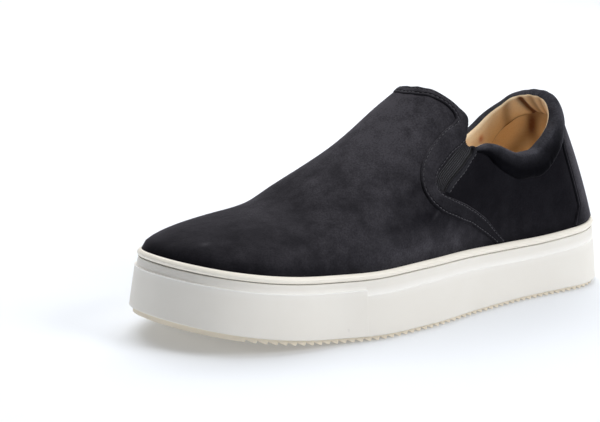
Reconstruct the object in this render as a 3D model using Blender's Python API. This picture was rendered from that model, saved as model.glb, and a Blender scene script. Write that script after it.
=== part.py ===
"""Slip-on sneaker, left shoe, in metres.

The toe points to -Y, the wearer's left (lateral) side is +X and +Z is up.
The upper is shaped from tables of a last; the sole is drawn round the same feather line.
"""
import math

import bmesh
import bpy
import numpy as np
from mathutils import Vector

# Sizes of the whole shoe
LENGTH = 0.300
BALL_WIDTH = 0.105
TONGUE_HEIGHT = 0.119
SOLE_HEIGHT = 0.0381
SOLE_MARGIN = 0.0056
TOE_SPRING = 0.0127
TOE_SHIFT = -0.0050

# The rounded ends of the feather line, as shares of its length, and their roundness
HEEL_CAP = 0.116
HEEL_POWER = 2.3
TOE_CAP = 0.213
TOE_POWER = 2.2

# Heel of the upper leans towards the toe above this height
LEAN = 0.0314
LEAN_FROM = 0.036
LEAN_TO = 0.105
LEAN_POWER = 1.05
LEAN_SPAN = (0.05, 0.45)

# Feather line: station from heel to toe, lateral and medial half width as shares of the ball width
FEATHER = (
    (0.00, 0.2384, 0.2596),
    (0.10, 0.2614, 0.2916),
    (0.25, 0.2804, 0.2966),
    (0.40, 0.3364, 0.2866),
    (0.55, 0.4164, 0.3266),
    (0.66, 0.4404, 0.3956),
    (0.76, 0.4164, 0.4396),
    (0.86, 0.4104, 0.4346),
    (0.94, 0.4004, 0.4116),
    (1.00, 0.3554, 0.3906),
)

# Side of the sole: share of the length, height of its top as a share of the sole height
SOLE_SIDE = (
    (0.00, 1.000),
    (0.25, 0.871),
    (0.50, 0.908),
    (0.72, 0.861),
    (1.00, 0.819),
)

# Last: station, crest height as a share of the tongue height, ridge shift, spread, round
LAST = (
    (0.00, 1.196, 0.00, 3.2, 2.2),
    (0.02, 1.192, 0.00, 3.2, 2.2),
    (0.07, 1.156, 0.00, 3.2, 2.2),
    (0.12, 1.146, 0.00, 3.2, 2.2),
    (0.18, 1.132, 0.00, 3.17, 2.2),
    (0.23, 1.131, 0.00, 3.1, 2.2),
    (0.29, 1.130, 0.00, 3.0, 2.2),
    (0.35, 1.093, 0.00, 2.75, 2.1),
    (0.40, 1.029, 0.00, 2.4, 2.0),
    (0.45, 0.991, -0.006, 2.35, 1.94),
    (0.50, 0.905, -0.080, 2.27, 1.88),
    (0.60, 0.731, -0.085, 2.1, 1.8),
    (0.70, 0.583, -0.10, 2.2, 1.9),
    (0.75, 0.503, -0.10, 2.3, 2.0),
    (0.80, 0.474, -0.10, 2.4, 2.0),
    (0.90, 0.454, -0.08, 2.4, 2.0),
    (1.00, 0.451, 0.00, 2.4, 2.0),
)

# Edge of the opening: share of the way from heel to toe, station, share across from the middle.
# The first and last rows lie past the middle, so that both sides join smoothly
OPENING = (
    (-0.021, 0.0200, -0.3537),
    (0.000, 0.0182, 0.0000),
    (0.021, 0.0200, 0.3537),
    (0.047, 0.0293, 0.6544),
    (0.086, 0.0559, 0.8396),
    (0.130, 0.0970, 0.9024),
    (0.179, 0.1509, 0.9270),
    (0.215, 0.1921, 0.9368),
    (0.253, 0.2355, 0.9371),
    (0.300, 0.2891, 0.9246),
    (0.350, 0.3458, 0.8878),
    (0.395, 0.3940, 0.8450),
    (0.440, 0.4140, 0.8000),
    (0.485, 0.4090, 0.7520),
    (0.530, 0.4005, 0.7000),
    (0.600, 0.4181, 0.6040),
    (0.720, 0.4453, 0.4350),
    (0.800, 0.4566, 0.3050),
    (0.900, 0.4663, 0.1550),
    (0.960, 0.4669, 0.0620),
    (1.000, 0.4674, 0.0000),
    (1.040, 0.4669, -0.0620),
)


def column(table, index, share):
    """Smooth curve through one column of a table; no wiggle between the rows."""
    x = np.array([row[0] for row in table], float)
    y = np.array([row[index] for row in table], float)
    gap = np.diff(x)
    rise = np.diff(y) / gap
    slope = np.zeros(len(x))
    for i in range(1, len(x) - 1):
        if rise[i - 1] * rise[i] > 0:
            a = 2 * gap[i] + gap[i - 1]
            b = gap[i] + 2 * gap[i - 1]
            slope[i] = (a + b) / (a / rise[i - 1] + b / rise[i])
    slope[0] = rise[0]
    slope[-1] = rise[-1]
    s = np.clip(np.asarray(share, float), x[0], x[-1])
    i = np.clip(np.searchsorted(x, s, side="right") - 1, 0, len(x) - 2)
    t = (s - x[i]) / gap[i]
    start = (2 * t**3 - 3 * t**2 + 1) * y[i] + (t**3 - 2 * t**2 + t) * gap[i] * slope[i]
    end = (3 * t**2 - 2 * t**3) * y[i + 1] + (t**3 - t**2) * gap[i] * slope[i + 1]
    return start + end


def ease(start, end, value):
    t = np.clip((np.asarray(value, float) - start) / (end - start), 0, 1)
    return t * t * (3 - 2 * t)


FEATHER_LENGTH = LENGTH - 2 * SOLE_MARGIN


def ground(y):
    """Height of the tread's lowest points: flat, then rising to the toe."""
    share = 0.5 - np.asarray(y, float) / LENGTH
    return TOE_SPRING * np.clip((share - 0.62) / 0.38, 0, 1)**2


def sole_top(y):
    """Height of the seam between upper and sole."""
    share = 0.5 - np.asarray(y, float) / LENGTH
    return ground(y) + SOLE_HEIGHT * column(SOLE_SIDE, 1, share)


def middle(station):
    return TOE_SHIFT * np.clip((station - 0.6) / 0.4, 0, 1)**2


def half_width(station, lateral):
    wide = np.where(lateral, column(FEATHER, 1, station), column(FEATHER, 2, station))
    return wide * BALL_WIDTH - np.where(lateral, 1, -1) * middle(station)


def end_caps(station):
    """Share of the half width that the rounded ends leave, and the part they take."""
    back = np.clip(1 - station / HEEL_CAP, 0, 1)
    front = np.clip((station - 1 + TOE_CAP) / TOE_CAP, 0, 1)
    power = np.where(station > 0.5, TOE_POWER, HEEL_POWER)
    taken = np.clip(back**HEEL_POWER + front**TOE_POWER, 0, 1)
    return (1 - taken)**(1 / power), taken, power


def side_arc(lateral):
    """Share of the side's length at each turn from heel (0) to toe (pi)."""
    turn = np.linspace(0, math.pi, 2001)
    station = (1 - np.cos(turn)) / 2
    x = half_width(station, lateral) * end_caps(station)[0]
    y = FEATHER_LENGTH * (0.5 - station)
    length = np.concatenate([[0], np.cumsum(np.hypot(np.diff(x), np.diff(y)))])
    return length / length[-1], turn


LATERAL_ARC = side_arc(True)
MEDIAL_ARC = side_arc(False)


def side_share(around):
    """Side, and share of the way from heel to toe, from the share of the way round."""
    around = np.mod(np.asarray(around, float), 1.0)
    lateral = around <= 0.5
    return lateral, np.where(lateral, 2 * around, 2 - 2 * around)


def feather(around):
    """Plan point of the seam between upper and sole: heel, lateral side, toe, medial side."""
    lateral, share = side_share(around)
    turn = np.where(lateral, np.interp(share, *LATERAL_ARC), np.interp(share, *MEDIAL_ARC))
    station = (1 - np.cos(turn)) / 2
    side = np.where(lateral, 1, -1)
    x = middle(station) + side * half_width(station, lateral) * end_caps(station)[0]
    return np.stack([x, FEATHER_LENGTH * (0.5 - station)], -1)


def outward(around):
    """Plan direction square to the feather line."""
    along = feather(np.asarray(around) + 0.001) - feather(np.asarray(around) - 0.001)
    along /= np.linalg.norm(along, axis=-1, keepdims=True)
    return np.stack([-along[..., 1], along[..., 0]], -1)


def opening(around):
    """Plan point under the edge of the opening, before the heel leans."""
    lateral, share = side_share(around)
    station = column(OPENING, 1, share)
    side = np.where(lateral, 1, -1)
    reach = side * column(OPENING, 2, share) * end_caps(station)[0]
    x = middle(station) + reach * half_width(station, lateral)
    return np.stack([x, FEATHER_LENGTH * (0.5 - station)], -1)


def last(x, y):
    """Point on the last over a plan point."""
    station = 0.5 - y / FEATHER_LENGTH
    centre = middle(station)
    lateral = x >= centre
    left, taken, power = end_caps(station)
    share = (x - centre) / half_width(station, lateral)
    share = np.clip(share / np.maximum(left, 1e-6), -1, 1)
    share = share - column(LAST, 2, station) * (1 - share**2)
    radius = np.clip((np.abs(share * left)**power + taken)**(1 / power), 0, 1)
    seam = sole_top(y)
    crest = TONGUE_HEIGHT * column(LAST, 1, station)
    rounding = (1 - radius**column(LAST, 3, station))**(1 / column(LAST, 4, station))
    z = seam + (crest - seam) * rounding
    tilt = np.clip((z - LEAN_FROM) / (LEAN_TO - LEAN_FROM), 0, 2)**LEAN_POWER
    forward = LEAN * tilt * (1 - ease(*LEAN_SPAN, station))
    return np.stack([x, y - forward, z], -1)


RAIL_SAMPLES = np.linspace(0, 1, 141)**3


def rails(around):
    """Lines up the last from the feather line to the opening, and their lengths so far."""
    start = feather(around)[..., None, :]
    end = opening(around)[..., None, :]
    plan = start + (end - start) * RAIL_SAMPLES[:, None]
    line = last(plan[..., 0], plan[..., 1])
    steps = np.linalg.norm(np.diff(line, axis=-2), axis=-1)
    so_far = np.concatenate([np.zeros(steps.shape[:-1] + (1,)), np.cumsum(steps, -1)], -1)
    return line, so_far


def on_rails(around, up):
    """Points of the last by share of the way round and share of the way up each rail."""
    around, up = np.broadcast_arrays(np.asarray(around, float), np.asarray(up, float))
    line, so_far = rails(around.ravel())
    points = np.empty((line.shape[0], 3))
    for i, share in enumerate(up.ravel()):
        for axis in range(3):
            points[i, axis] = np.interp(share * so_far[i, -1], so_far[i], line[i, :, axis])
    return points.reshape(around.shape + (3,))


def skin(around, up, out=0.0):
    """Points of the upper's surface, moved out along its normal."""
    around, up = np.broadcast_arrays(np.asarray(around, float), np.asarray(up, float))
    point = on_rails(around, up)
    along = on_rails(around + 0.002, up) - on_rails(around - 0.002, up)
    higher = np.clip(up + 0.01, 0, 1)
    lower = np.clip(up - 0.01, 0, 1)
    rise = on_rails(around, higher) - on_rails(around, lower)
    normal = np.cross(rise, along)
    normal /= np.linalg.norm(normal, axis=-1, keepdims=True)
    return point + normal * np.asarray(out)[..., None]


def rail_length(around):
    return rails(np.atleast_1d(around))[1][:, -1]


# Clearance between pieces that touch in life, and under the overlays
GAP = 0.0003
OVERLAY_GAP = 0.0005

# Sole, from the tread up
TREAD = 0.0026
TOOTH = 0.0016
TOOTH_PITCH = 0.0048
TOOTH_STEEP = 0.0006
TOOTH_FLAT = 0.0008
SMOOTH_TOE = 0.905
OUTSOLE_THICK = 0.0045
OUTSOLE_INSET = 0.0018
STRIP_HEIGHT = 0.0039
STRIP_WIDE = 0.0017
RIM_OUT = 0.0014
SHELF_OUT = 0.0022
STEP_OUT = 0.0033
STEP_OUT_BACK = 0.0029
STEP_DROP = 0.0079
STEP_DROP_BACK = 0.0108
BUMPER_END = 0.689
BUMPER_EDGE = 0.0008
EDGE = 0.0004

# Inside of the cup: share of the length, floor height as a share of the sole height
FLOOR = (
    (0.00, 0.630),
    (0.30, 0.590),
    (0.50, 0.499),
    (0.68, 0.407),
    (1.00, 0.407),
)

# Upper
WALL = 0.0022
TONGUE_THICK = 0.0028
COLLAR_THICK = 0.0064
COLLAR_DEPTH = 0.0168
PAD = 0.0026
INSOLE_THICK = 0.0045
INSOLE_EDGE = 0.0010

# Padded collar: share of the way from heel to toe, share of its greatest depth, fullness
COLLAR = (
    (-0.086, 0.667, 0.95),
    (0.000, 0.655, 0.90),
    (0.086, 0.667, 0.95),
    (0.142, 0.893, 1.00),
    (0.186, 1.000, 1.00),
    (0.231, 0.923, 1.00),
    (0.283, 0.881, 1.00),
    (0.339, 0.804, 0.85),
    (0.378, 0.536, 0.40),
    (0.410, 0.476, 0.00),
    (0.550, 0.476, 0.00),
    (1.000, 0.476, 0.00),
)

# Rows of the upper's wall below the collar seam, as shares of the rail, and across the collar
OUTER_ROWS = (0.0, 0.055, 0.12, 0.20, 0.31, 0.45, 0.62, 0.80)
INNER_ROWS = (0.80, 0.50, 0.25, 0.10, 0.0)
COLLAR_ROWS = (1.0, 0.82, 0.50)
RIM_ROWS = ((1.0, 0.0), (0.3, 0.14), (0.0, 0.5), (0.3, 0.86), (1.0, 1.0))

# Edge band of the vamp: its outer edge, share round and up, then its inner edge, round and up
BAND = (
    (1.000, 0.993, 1.000, 0.962),
    (0.900, 0.993, 0.900, 0.961),
    (0.800, 0.993, 0.803, 0.960),
    (0.719, 0.992, 0.724, 0.955),
    (0.638, 0.990, 0.652, 0.947),
    (0.572, 0.988, 0.600, 0.930),
    (0.515, 0.985, 0.584, 0.905),
    (0.480, 0.965, 0.590, 0.865),
    (0.482, 0.900, 0.611, 0.818),
    (0.510, 0.800, 0.640, 0.745),
    (0.543, 0.693, 0.651, 0.685),
    (0.562, 0.618, 0.650, 0.628),
    (0.572, 0.562, 0.643, 0.583),
    (0.569, 0.515, 0.631, 0.535),
    (0.556, 0.468, 0.611, 0.475),
    (0.539, 0.435, 0.584, 0.410),
    (0.515, 0.422, 0.555, 0.352),
    (0.483, 0.424, 0.518, 0.305),
    (0.444, 0.425, 0.464, 0.275),
    (0.412, 0.390, 0.425, 0.242),
    (0.380, 0.300, 0.396, 0.173),
    (0.347, 0.135, 0.367, 0.080),
    (0.323, 0.014, 0.347, 0.014),
)
BAND_THICK = 0.0010
BAND_EDGE = 0.0005
BAND_STATIONS = 31

# Gore: its front edge, share round and up, then its rear edge, round and up
GORE = (
    (0.470, 1.000, 0.402, 1.000),
    (0.497, 0.880, 0.408, 0.930),
    (0.531, 0.770, 0.428, 0.845),
    (0.553, 0.693, 0.460, 0.713),
    (0.572, 0.618, 0.494, 0.590),
    (0.582, 0.562, 0.513, 0.527),
    (0.574, 0.500, 0.522, 0.482),
    (0.553, 0.445, 0.527, 0.445),
)
GORE_THICK = 0.0012
GORE_RECESS = 0.0004
GORE_STATIONS = 18
GORE_MARGIN = 0.0005
GORE_DROP = 0.0012
CUT_REACH = 0.004
WELD = 0.00002

# Heel strip: share up its edge, share of the way round from the heel
HEEL_STRIP = (
    (0.014, 0.142),
    (0.108, 0.131),
    (0.183, 0.119),
    (0.508, 0.118),
    (0.700, 0.117),
    (0.790, 0.112),
)
HEEL_STRIP_THICK = 0.0006

# Colours: red, green, blue, roughness
COLOURS = {
    "outsole": (0.70, 0.60, 0.44, 0.65),
    "cupsole": (0.80, 0.77, 0.70, 0.55),
    "welt_strip": (0.84, 0.80, 0.70, 0.50),
    "insole": (0.62, 0.36, 0.20, 0.75),
    "upper": (0.020, 0.022, 0.030, 0.85),
    "vamp_band": (0.018, 0.020, 0.027, 0.85),
    "gore_lateral": (0.010, 0.010, 0.014, 0.90),
    "gore_medial": (0.010, 0.010, 0.014, 0.90),
    "heel_strip": (0.018, 0.020, 0.027, 0.85),
}

# Stations round the shoe: denser at heel and toe
SIDE_STATIONS = 38


def make_node(name, points, faces):
    """Closed mesh with outward faces under its own material."""
    mesh = bpy.data.meshes.new(name)
    mesh.from_pydata([tuple(map(float, p)) for p in points], [], faces)
    form = bmesh.new()
    form.from_mesh(mesh)
    bmesh.ops.triangulate(form, faces=form.faces[:])
    bmesh.ops.recalc_face_normals(form, faces=form.faces[:])
    form.to_mesh(mesh)
    form.free()
    node = bpy.data.objects.new(name, mesh)
    bpy.context.scene.collection.objects.link(node)
    return node


def paint(node):
    red, green, blue, rough = COLOURS[node.name]
    material = bpy.data.materials.new(node.name)
    material.use_nodes = True
    shader = material.node_tree.nodes["Principled BSDF"]
    shader.inputs["Base Color"].default_value = (red, green, blue, 1.0)
    shader.inputs["Roughness"].default_value = rough
    shader.inputs["Metallic"].default_value = 0.0
    node.data.materials.clear()
    node.data.materials.append(material)


def side_stations():
    """Shares of the way from heel to toe, closer together at both ends."""
    even = np.linspace(0, 1, SIDE_STATIONS + 1)
    return 0.55 * even + 0.45 * (1 - np.cos(math.pi * even)) / 2


def round_stations(extra=()):
    side = np.sort(np.concatenate([side_stations(), np.asarray(extra, float)]))
    return np.concatenate([side / 2, (1 - side / 2)[::-1][1:-1]])


def ring(around, out, height):
    """Loop round the feather line, moved out, at a height that may follow each point."""
    out = np.broadcast_to(np.asarray(out, float), around.shape)
    plan = feather(around) + outward(around) * out[:, None]
    return np.column_stack([plan, height(plan[:, 1], feather(around)[:, 1])])


def loft(rings, closed_section=False):
    """Quads between rings of equal count; open ends are capped across from side to side."""
    count = len(rings[0])
    points = np.concatenate(rings)
    faces = []
    last_ring = len(rings) if closed_section else len(rings) - 1
    for r in range(last_ring):
        low = r * count
        high = (r + 1) % len(rings) * count
        for i in range(count):
            j = (i + 1) % count
            faces.append((low + i, low + j, high + j, high + i))
    if not closed_section:
        for base in (0, (len(rings) - 1) * count):
            faces.extend(ladder(base, count))
    return points, faces


def ladder(base, count):
    """Cap of a loop by rungs between its two sides."""
    faces = []
    half = count // 2
    for i in range(half):
        a, b = i, i + 1
        c, d = (count - b) % count, (count - a) % count
        corners = []
        for corner in (a, b, c, d):
            if base + corner not in corners:
                corners.append(base + corner)
        faces.append(tuple(corners))
    return faces


def seam_height(drop):
    return lambda own_y, feather_y: sole_top(feather_y) - drop


def tread_height(rise):
    return lambda own_y, feather_y: ground(own_y) + rise


def floor_height(rise):
    def height(own_y, feather_y):
        share = 0.5 - own_y / LENGTH
        return ground(own_y) + SOLE_HEIGHT * column(FLOOR, 1, share) + rise
    return height


def tooth_stations(back, front):
    """Plan stations of the tread from heel to toe, each with its height above the lowest line."""
    rows = []
    y = back
    last_tooth = LENGTH * (0.5 - SMOOTH_TOE)
    while y - TOOTH_PITCH > last_tooth:
        rows.append((y, TOOTH))
        rows.append((y - TOOTH_STEEP, 0.0))
        rows.append((y - TOOTH_STEEP - TOOTH_FLAT, 0.0))
        y -= TOOTH_PITCH
    rows.append((y, TOOTH))
    rows.append((y - TOOTH_STEEP, 0.0))
    for share in (0.25, 0.45, 0.62, 0.76, 0.87, 0.95, 1.0):
        rows.append((y - TOOTH_STEEP + (front - y + TOOTH_STEEP) * share, 0.0))
    return rows


def make_outsole():
    """Tread plate with cross ribs: each rib slopes gently towards its steep heel side."""
    around = np.linspace(0, 1, 1200, endpoint=False)
    edge = feather(around) + outward(around) * (SOLE_MARGIN - OUTSOLE_INSET)
    lateral = edge[around <= 0.5]
    medial = edge[(around >= 0.5) | (around == 0)]
    lateral = lateral[np.argsort(lateral[:, 1])]
    medial = medial[np.argsort(medial[:, 1])]
    rows = tooth_stations(edge[:, 1].max() - GAP, edge[:, 1].min() + GAP)
    y = np.array([row[0] for row in rows])
    low = ground(y) + np.array([row[1] for row in rows])
    high = ground(y) + OUTSOLE_THICK
    left = np.interp(y, lateral[:, 1], lateral[:, 0])
    right = np.interp(y, medial[:, 1], medial[:, 0])
    points = np.concatenate([
        np.column_stack([left, y, low]), np.column_stack([right, y, low]),
        np.column_stack([left, y, high]), np.column_stack([right, y, high])])
    n = len(rows)
    faces = []
    for i in range(n - 1):
        a, b, c, d = i, n + i, 2 * n + i, 3 * n + i
        faces.append((a, b, b + 1, a + 1))
        faces.append((c, c + 1, d + 1, d))
        faces.append((a, a + 1, c + 1, c))
        faces.append((b, d, d + 1, b + 1))
    faces.append((0, 2 * n, 3 * n, n))
    faces.append((n - 1, 2 * n - 1, 4 * n - 1, 3 * n - 1))
    return make_node("outsole", points, faces)


def bumper_stations():
    """Places round the side where the toe bumper ends in a step."""
    share = np.linspace(0.5, 0.9, 801)
    y = feather(share / 2)[:, 1]
    place = np.interp(0.5 - BUMPER_END, (y / LENGTH)[::-1], share[::-1])
    half = BUMPER_EDGE / 2 / LENGTH
    return place - half, place + half


def make_cupsole():
    """Side wall, step line and pocket of the sole in one piece."""
    behind, before = bumper_stations()
    around = round_stations((behind, before))
    share = side_share(around)[1]
    front = np.where(share >= before - 1e-6, 1.0, 0.0)
    step = STEP_OUT_BACK + (STEP_OUT - STEP_OUT_BACK) * front
    drop = STEP_DROP_BACK + (STEP_DROP - STEP_DROP_BACK) * front
    recess = SOLE_MARGIN - OUTSOLE_INSET + GAP
    strip_foot = STRIP_HEIGHT + GAP
    rings = [
        ring(around, recess, tread_height(OUTSOLE_THICK + GAP)),
        ring(around, recess, tread_height(TREAD)),
        ring(around, SOLE_MARGIN - EDGE, tread_height(TREAD)),
        ring(around, SOLE_MARGIN, tread_height(TREAD + 2 * EDGE)),
        ring(around, step, seam_height(drop + 1.5 * EDGE)),
        ring(around, step - 0.75 * EDGE, seam_height(drop)),
        ring(around, SHELF_OUT - EDGE * (1 - front), seam_height(drop - EDGE)),
        ring(around, RIM_OUT + 0.75 * EDGE, seam_height(strip_foot + 1.5 * EDGE)),
        ring(around, RIM_OUT, seam_height(strip_foot)),
        ring(around, GAP, seam_height(strip_foot)),
        ring(around, GAP, floor_height(0.0)),
    ]
    return make_node("cupsole", *loft(rings))


def make_strip():
    """Bead that covers the seam between upper and sole."""
    around = round_stations()
    section = (
        (GAP, STRIP_HEIGHT), (STRIP_WIDE - EDGE, STRIP_HEIGHT), (STRIP_WIDE, STRIP_HEIGHT * 0.77),
        (STRIP_WIDE, STRIP_HEIGHT * 0.38), (STRIP_WIDE - EDGE, STRIP_HEIGHT * 0.1), (GAP, 0.0))
    rings = [ring(around, out, seam_height(drop)) for out, drop in section]
    return make_node("welt_strip", *loft(rings, closed_section=True))


def make_insole():
    around = round_stations()
    edge = -WALL - OVERLAY_GAP
    rings = [
        ring(around, edge, floor_height(GAP)),
        ring(around, edge, floor_height(INSOLE_THICK - INSOLE_EDGE)),
        ring(around, edge - INSOLE_EDGE, floor_height(INSOLE_THICK)),
    ]
    return make_node("insole", *loft(rings))


def collar_shape(around):
    """Depth of the collar seam, fullness of the padding and thickness of the edge."""
    share = side_share(around)[1]
    full = column(COLLAR, 2, share)
    thick = TONGUE_THICK + (COLLAR_THICK - TONGUE_THICK) * full
    return COLLAR_DEPTH * column(COLLAR, 1, share), full, thick


def make_upper():
    """Hollow upper: outer rows up to the rounded edge of the opening, inner rows back down."""
    around = round_stations()
    depth, full, thick = collar_shape(around)
    length = rail_length(around)
    seam = 1 - depth / length
    swell = PAD * full
    inner = np.maximum(WALL, thick - swell)
    rows = [ring(around, 0.0, floor_height(GAP))]
    for share in OUTER_ROWS:
        rows.append(skin(around, seam * share))
    for share in COLLAR_ROWS:
        bulge = 0.0 if share == 1.0 else math.sin(math.pi * (1 - share) / 1.5)**0.6
        out = swell * bulge
        rows.append(skin(around, 1 - depth * share / length, out))
    for down, across in RIM_ROWS:
        level = 1 - down * thick / 2 / length
        rows.append(skin(around, level, swell * 0.75 * (1 - across) - inner * across))
    for share in reversed(COLLAR_ROWS):
        mix = 0.0 if share == 1.0 else 1.0
        rows.append(skin(around, 1 - depth * share / length, -(WALL + (inner - WALL) * mix)))
    for share in INNER_ROWS:
        rows.append(skin(around, seam * share, -WALL))
    rows.append(ring(around, -WALL, floor_height(GAP)))
    return make_node("upper", *loft(rows, closed_section=True))


def ribbon(edges, across, layers):
    """Solid strip on the upper between two edges; layers are (share across, height) corners."""
    points = []
    for first_around, first_up, second_around, second_up in edges:
        share = np.array([layer[0] for layer in layers])
        out = np.array([layer[1] for layer in layers])
        around = first_around + (second_around - first_around) * share
        up = first_up + (second_up - first_up) * share
        points.append(skin(around, up, out))
    count = len(layers)
    faces = []
    for r in range(len(points) - 1):
        for i in range(count):
            j = (i + 1) % count
            low, high = r * count, (r + 1) * count
            faces.append((low + i, low + j, high + j, high + i))
    for base in (0, (len(points) - 1) * count):
        for i in range(across):
            faces.append((base + i, base + i + 1, base + count - 2 - i, base + count - 1 - i))
    return np.concatenate(points), faces


def section(across, low, high, edge):
    """Corners of a strip's section: along the underside, then back along the top."""
    shares = np.linspace(0, 1, across + 1)
    under = [(share, low) for share in shares]
    over = [(share, high - (edge if share in (0.0, 1.0) else 0.0)) for share in shares[::-1]]
    return under + over


def table_rows(table, count, side):
    """Rows of an edge table by even steps along it, on the lateral (1) or medial (-1) side."""
    centres = []
    for row in table:
        ends = on_rails(np.array([row[0] / 2, row[2] / 2]), np.array([row[1], row[3]]))
        centres.append(ends.mean(axis=0))
    steps = np.linalg.norm(np.diff(np.array(centres), axis=0), axis=1)
    place = np.concatenate([[0], np.cumsum(steps)]) / steps.sum()
    placed = [(p,) + tuple(row) for p, row in zip(place, table)]
    wanted = np.linspace(0, 1, count)
    rows = np.column_stack([column(placed, i, wanted) for i in range(1, 5)])
    rows[:, 0] /= 2
    rows[:, 2] /= 2
    if side < 0:
        rows[:, 0] = 1 - rows[:, 0]
        rows[:, 2] = 1 - rows[:, 2]
    return rows


def make_band():
    """Folded band that borders the vamp from one side of the sole over the tongue to the other."""
    lateral = table_rows(BAND, BAND_STATIONS, 1)
    medial = table_rows(BAND, BAND_STATIONS, -1)
    edges = np.concatenate([lateral[::-1], medial[1:]])
    corners = section(4, OVERLAY_GAP, OVERLAY_GAP + BAND_THICK, BAND_EDGE)
    return make_node("vamp_band", *ribbon(edges, 4, corners))


def narrowed(rows, margin, ends):
    """Edge rows drawn in by a margin on both edges and both ends."""
    rows = rows.copy()
    first = on_rails(rows[:, 0], rows[:, 1])
    second = on_rails(rows[:, 2], rows[:, 3])
    wide = np.linalg.norm(second - first, axis=1)
    share = (margin / wide)[:, None]
    left, right = rows[:, :2].copy(), rows[:, 2:].copy()
    rows[:, :2] = left + (right - left) * share
    rows[:, 2:] = right - (right - left) * share
    length = np.linalg.norm(np.diff((first + second) / 2, axis=0), axis=1).sum()
    start, stop = ends[0] / length, 1 - ends[1] / length
    place = np.linspace(0, 1, len(rows))
    wanted = np.linspace(start, stop, len(rows))
    return np.column_stack([np.interp(wanted, place, rows[:, i]) for i in range(4)])


def make_gore(name, side):
    """Elastic gore, set in its opening in the upper's wall."""
    rows = narrowed(table_rows(GORE, GORE_STATIONS, side), GORE_MARGIN, (GORE_DROP, GORE_MARGIN))
    corners = section(3, -GORE_RECESS - GORE_THICK, -GORE_RECESS, 0.0)
    return make_node(name, *ribbon(rows, 3, corners))


def gore_cutter(side):
    """Block for the gore's opening; its top end stands above the edge of the upper."""
    rows = table_rows(GORE, GORE_STATIONS, side)
    corners = section(3, -CUT_REACH - TONGUE_THICK / 2, CUT_REACH, 0.0)
    points, faces = ribbon(rows, 3, corners)
    count = len(corners)
    lift = points[:count] - points[count:2 * count]
    lift /= np.linalg.norm(lift, axis=1)[:, None]
    points[:count] += lift * CUT_REACH
    return make_node("cutter", points, faces)


def cut(node, cutter):
    change = node.modifiers.new("cut", "BOOLEAN")
    change.operation = "DIFFERENCE"
    change.solver = "EXACT"
    change.object = cutter
    bpy.context.view_layer.update()
    graph = bpy.context.evaluated_depsgraph_get()
    mesh = bpy.data.meshes.new_from_object(node.evaluated_get(graph))
    node.modifiers.clear()
    old = node.data
    node.data = mesh
    bpy.data.meshes.remove(old)
    bpy.data.objects.remove(cutter, do_unlink=True)
    form = bmesh.new()
    form.from_mesh(mesh)
    bmesh.ops.remove_doubles(form, verts=form.verts[:], dist=WELD)
    bmesh.ops.dissolve_degenerate(form, edges=form.edges[:], dist=WELD)
    bmesh.ops.triangulate(form, faces=form.faces[:])
    form.to_mesh(mesh)
    form.free()


def make_heel_strip():
    """Strip over the back seam, from the sole up to the padded collar."""
    up = np.array([row[0] for row in HEEL_STRIP])
    levels = np.linspace(up[0], up[-1], 9)
    reach = column(HEEL_STRIP, 1, levels) / 2
    rows = np.column_stack([reach, levels, -reach, levels])
    corners = section(16, OVERLAY_GAP, OVERLAY_GAP + HEEL_STRIP_THICK, HEEL_STRIP_THICK / 2)
    return make_node("heel_strip", *ribbon(rows, 16, corners))


def build():
    for old in list(bpy.data.objects):
        bpy.data.objects.remove(old, do_unlink=True)
    upper = make_upper()
    for side in (1, -1):
        cut(upper, gore_cutter(side))
    nodes = [
        make_outsole(), make_cupsole(), make_strip(), make_insole(), upper, make_band(),
        make_gore("gore_lateral", 1), make_gore("gore_medial", -1), make_heel_strip()]
    for node in nodes:
        paint(node)


build()
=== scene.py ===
"""Looks of the slip-on sneaker: the left shoe, seen from its lateral side.

Metres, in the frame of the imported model: toe to -Y, lateral side to +X, +Z up.
"""
import math

import bmesh
import bpy
import numpy as np
from mathutils import Matrix, Vector


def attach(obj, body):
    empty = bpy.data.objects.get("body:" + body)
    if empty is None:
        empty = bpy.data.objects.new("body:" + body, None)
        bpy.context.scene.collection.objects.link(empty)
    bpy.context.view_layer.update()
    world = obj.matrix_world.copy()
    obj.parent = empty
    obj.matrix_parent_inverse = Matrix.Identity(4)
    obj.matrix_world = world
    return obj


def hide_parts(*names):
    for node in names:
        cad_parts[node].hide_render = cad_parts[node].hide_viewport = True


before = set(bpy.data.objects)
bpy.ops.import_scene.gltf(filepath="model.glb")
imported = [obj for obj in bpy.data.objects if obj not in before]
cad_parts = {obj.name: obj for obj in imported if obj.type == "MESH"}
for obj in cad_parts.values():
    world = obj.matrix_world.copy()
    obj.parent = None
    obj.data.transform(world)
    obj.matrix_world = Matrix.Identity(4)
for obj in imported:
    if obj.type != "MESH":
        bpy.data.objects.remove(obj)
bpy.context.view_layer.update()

# Sizes of the whole shoe
LENGTH = 0.300
BALL_WIDTH = 0.105
TONGUE_HEIGHT = 0.119
SOLE_HEIGHT = 0.0381
SOLE_MARGIN = 0.0056
TOE_SPRING = 0.0127
TOE_SHIFT = -0.0050

# The rounded ends of the feather line, as shares of its length, and their roundness
HEEL_CAP = 0.116
HEEL_POWER = 2.3
TOE_CAP = 0.213
TOE_POWER = 2.2

# Heel of the upper leans towards the toe above this height
LEAN = 0.0314
LEAN_FROM = 0.036
LEAN_TO = 0.105
LEAN_POWER = 1.05
LEAN_SPAN = (0.05, 0.45)

# Feather line: station from heel to toe, lateral and medial half width as shares of the ball width
FEATHER = (
    (0.00, 0.2384, 0.2596),
    (0.10, 0.2614, 0.2916),
    (0.25, 0.2804, 0.2966),
    (0.40, 0.3364, 0.2866),
    (0.55, 0.4164, 0.3266),
    (0.66, 0.4404, 0.3956),
    (0.76, 0.4164, 0.4396),
    (0.86, 0.4104, 0.4346),
    (0.94, 0.4004, 0.4116),
    (1.00, 0.3554, 0.3906),
)

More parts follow.
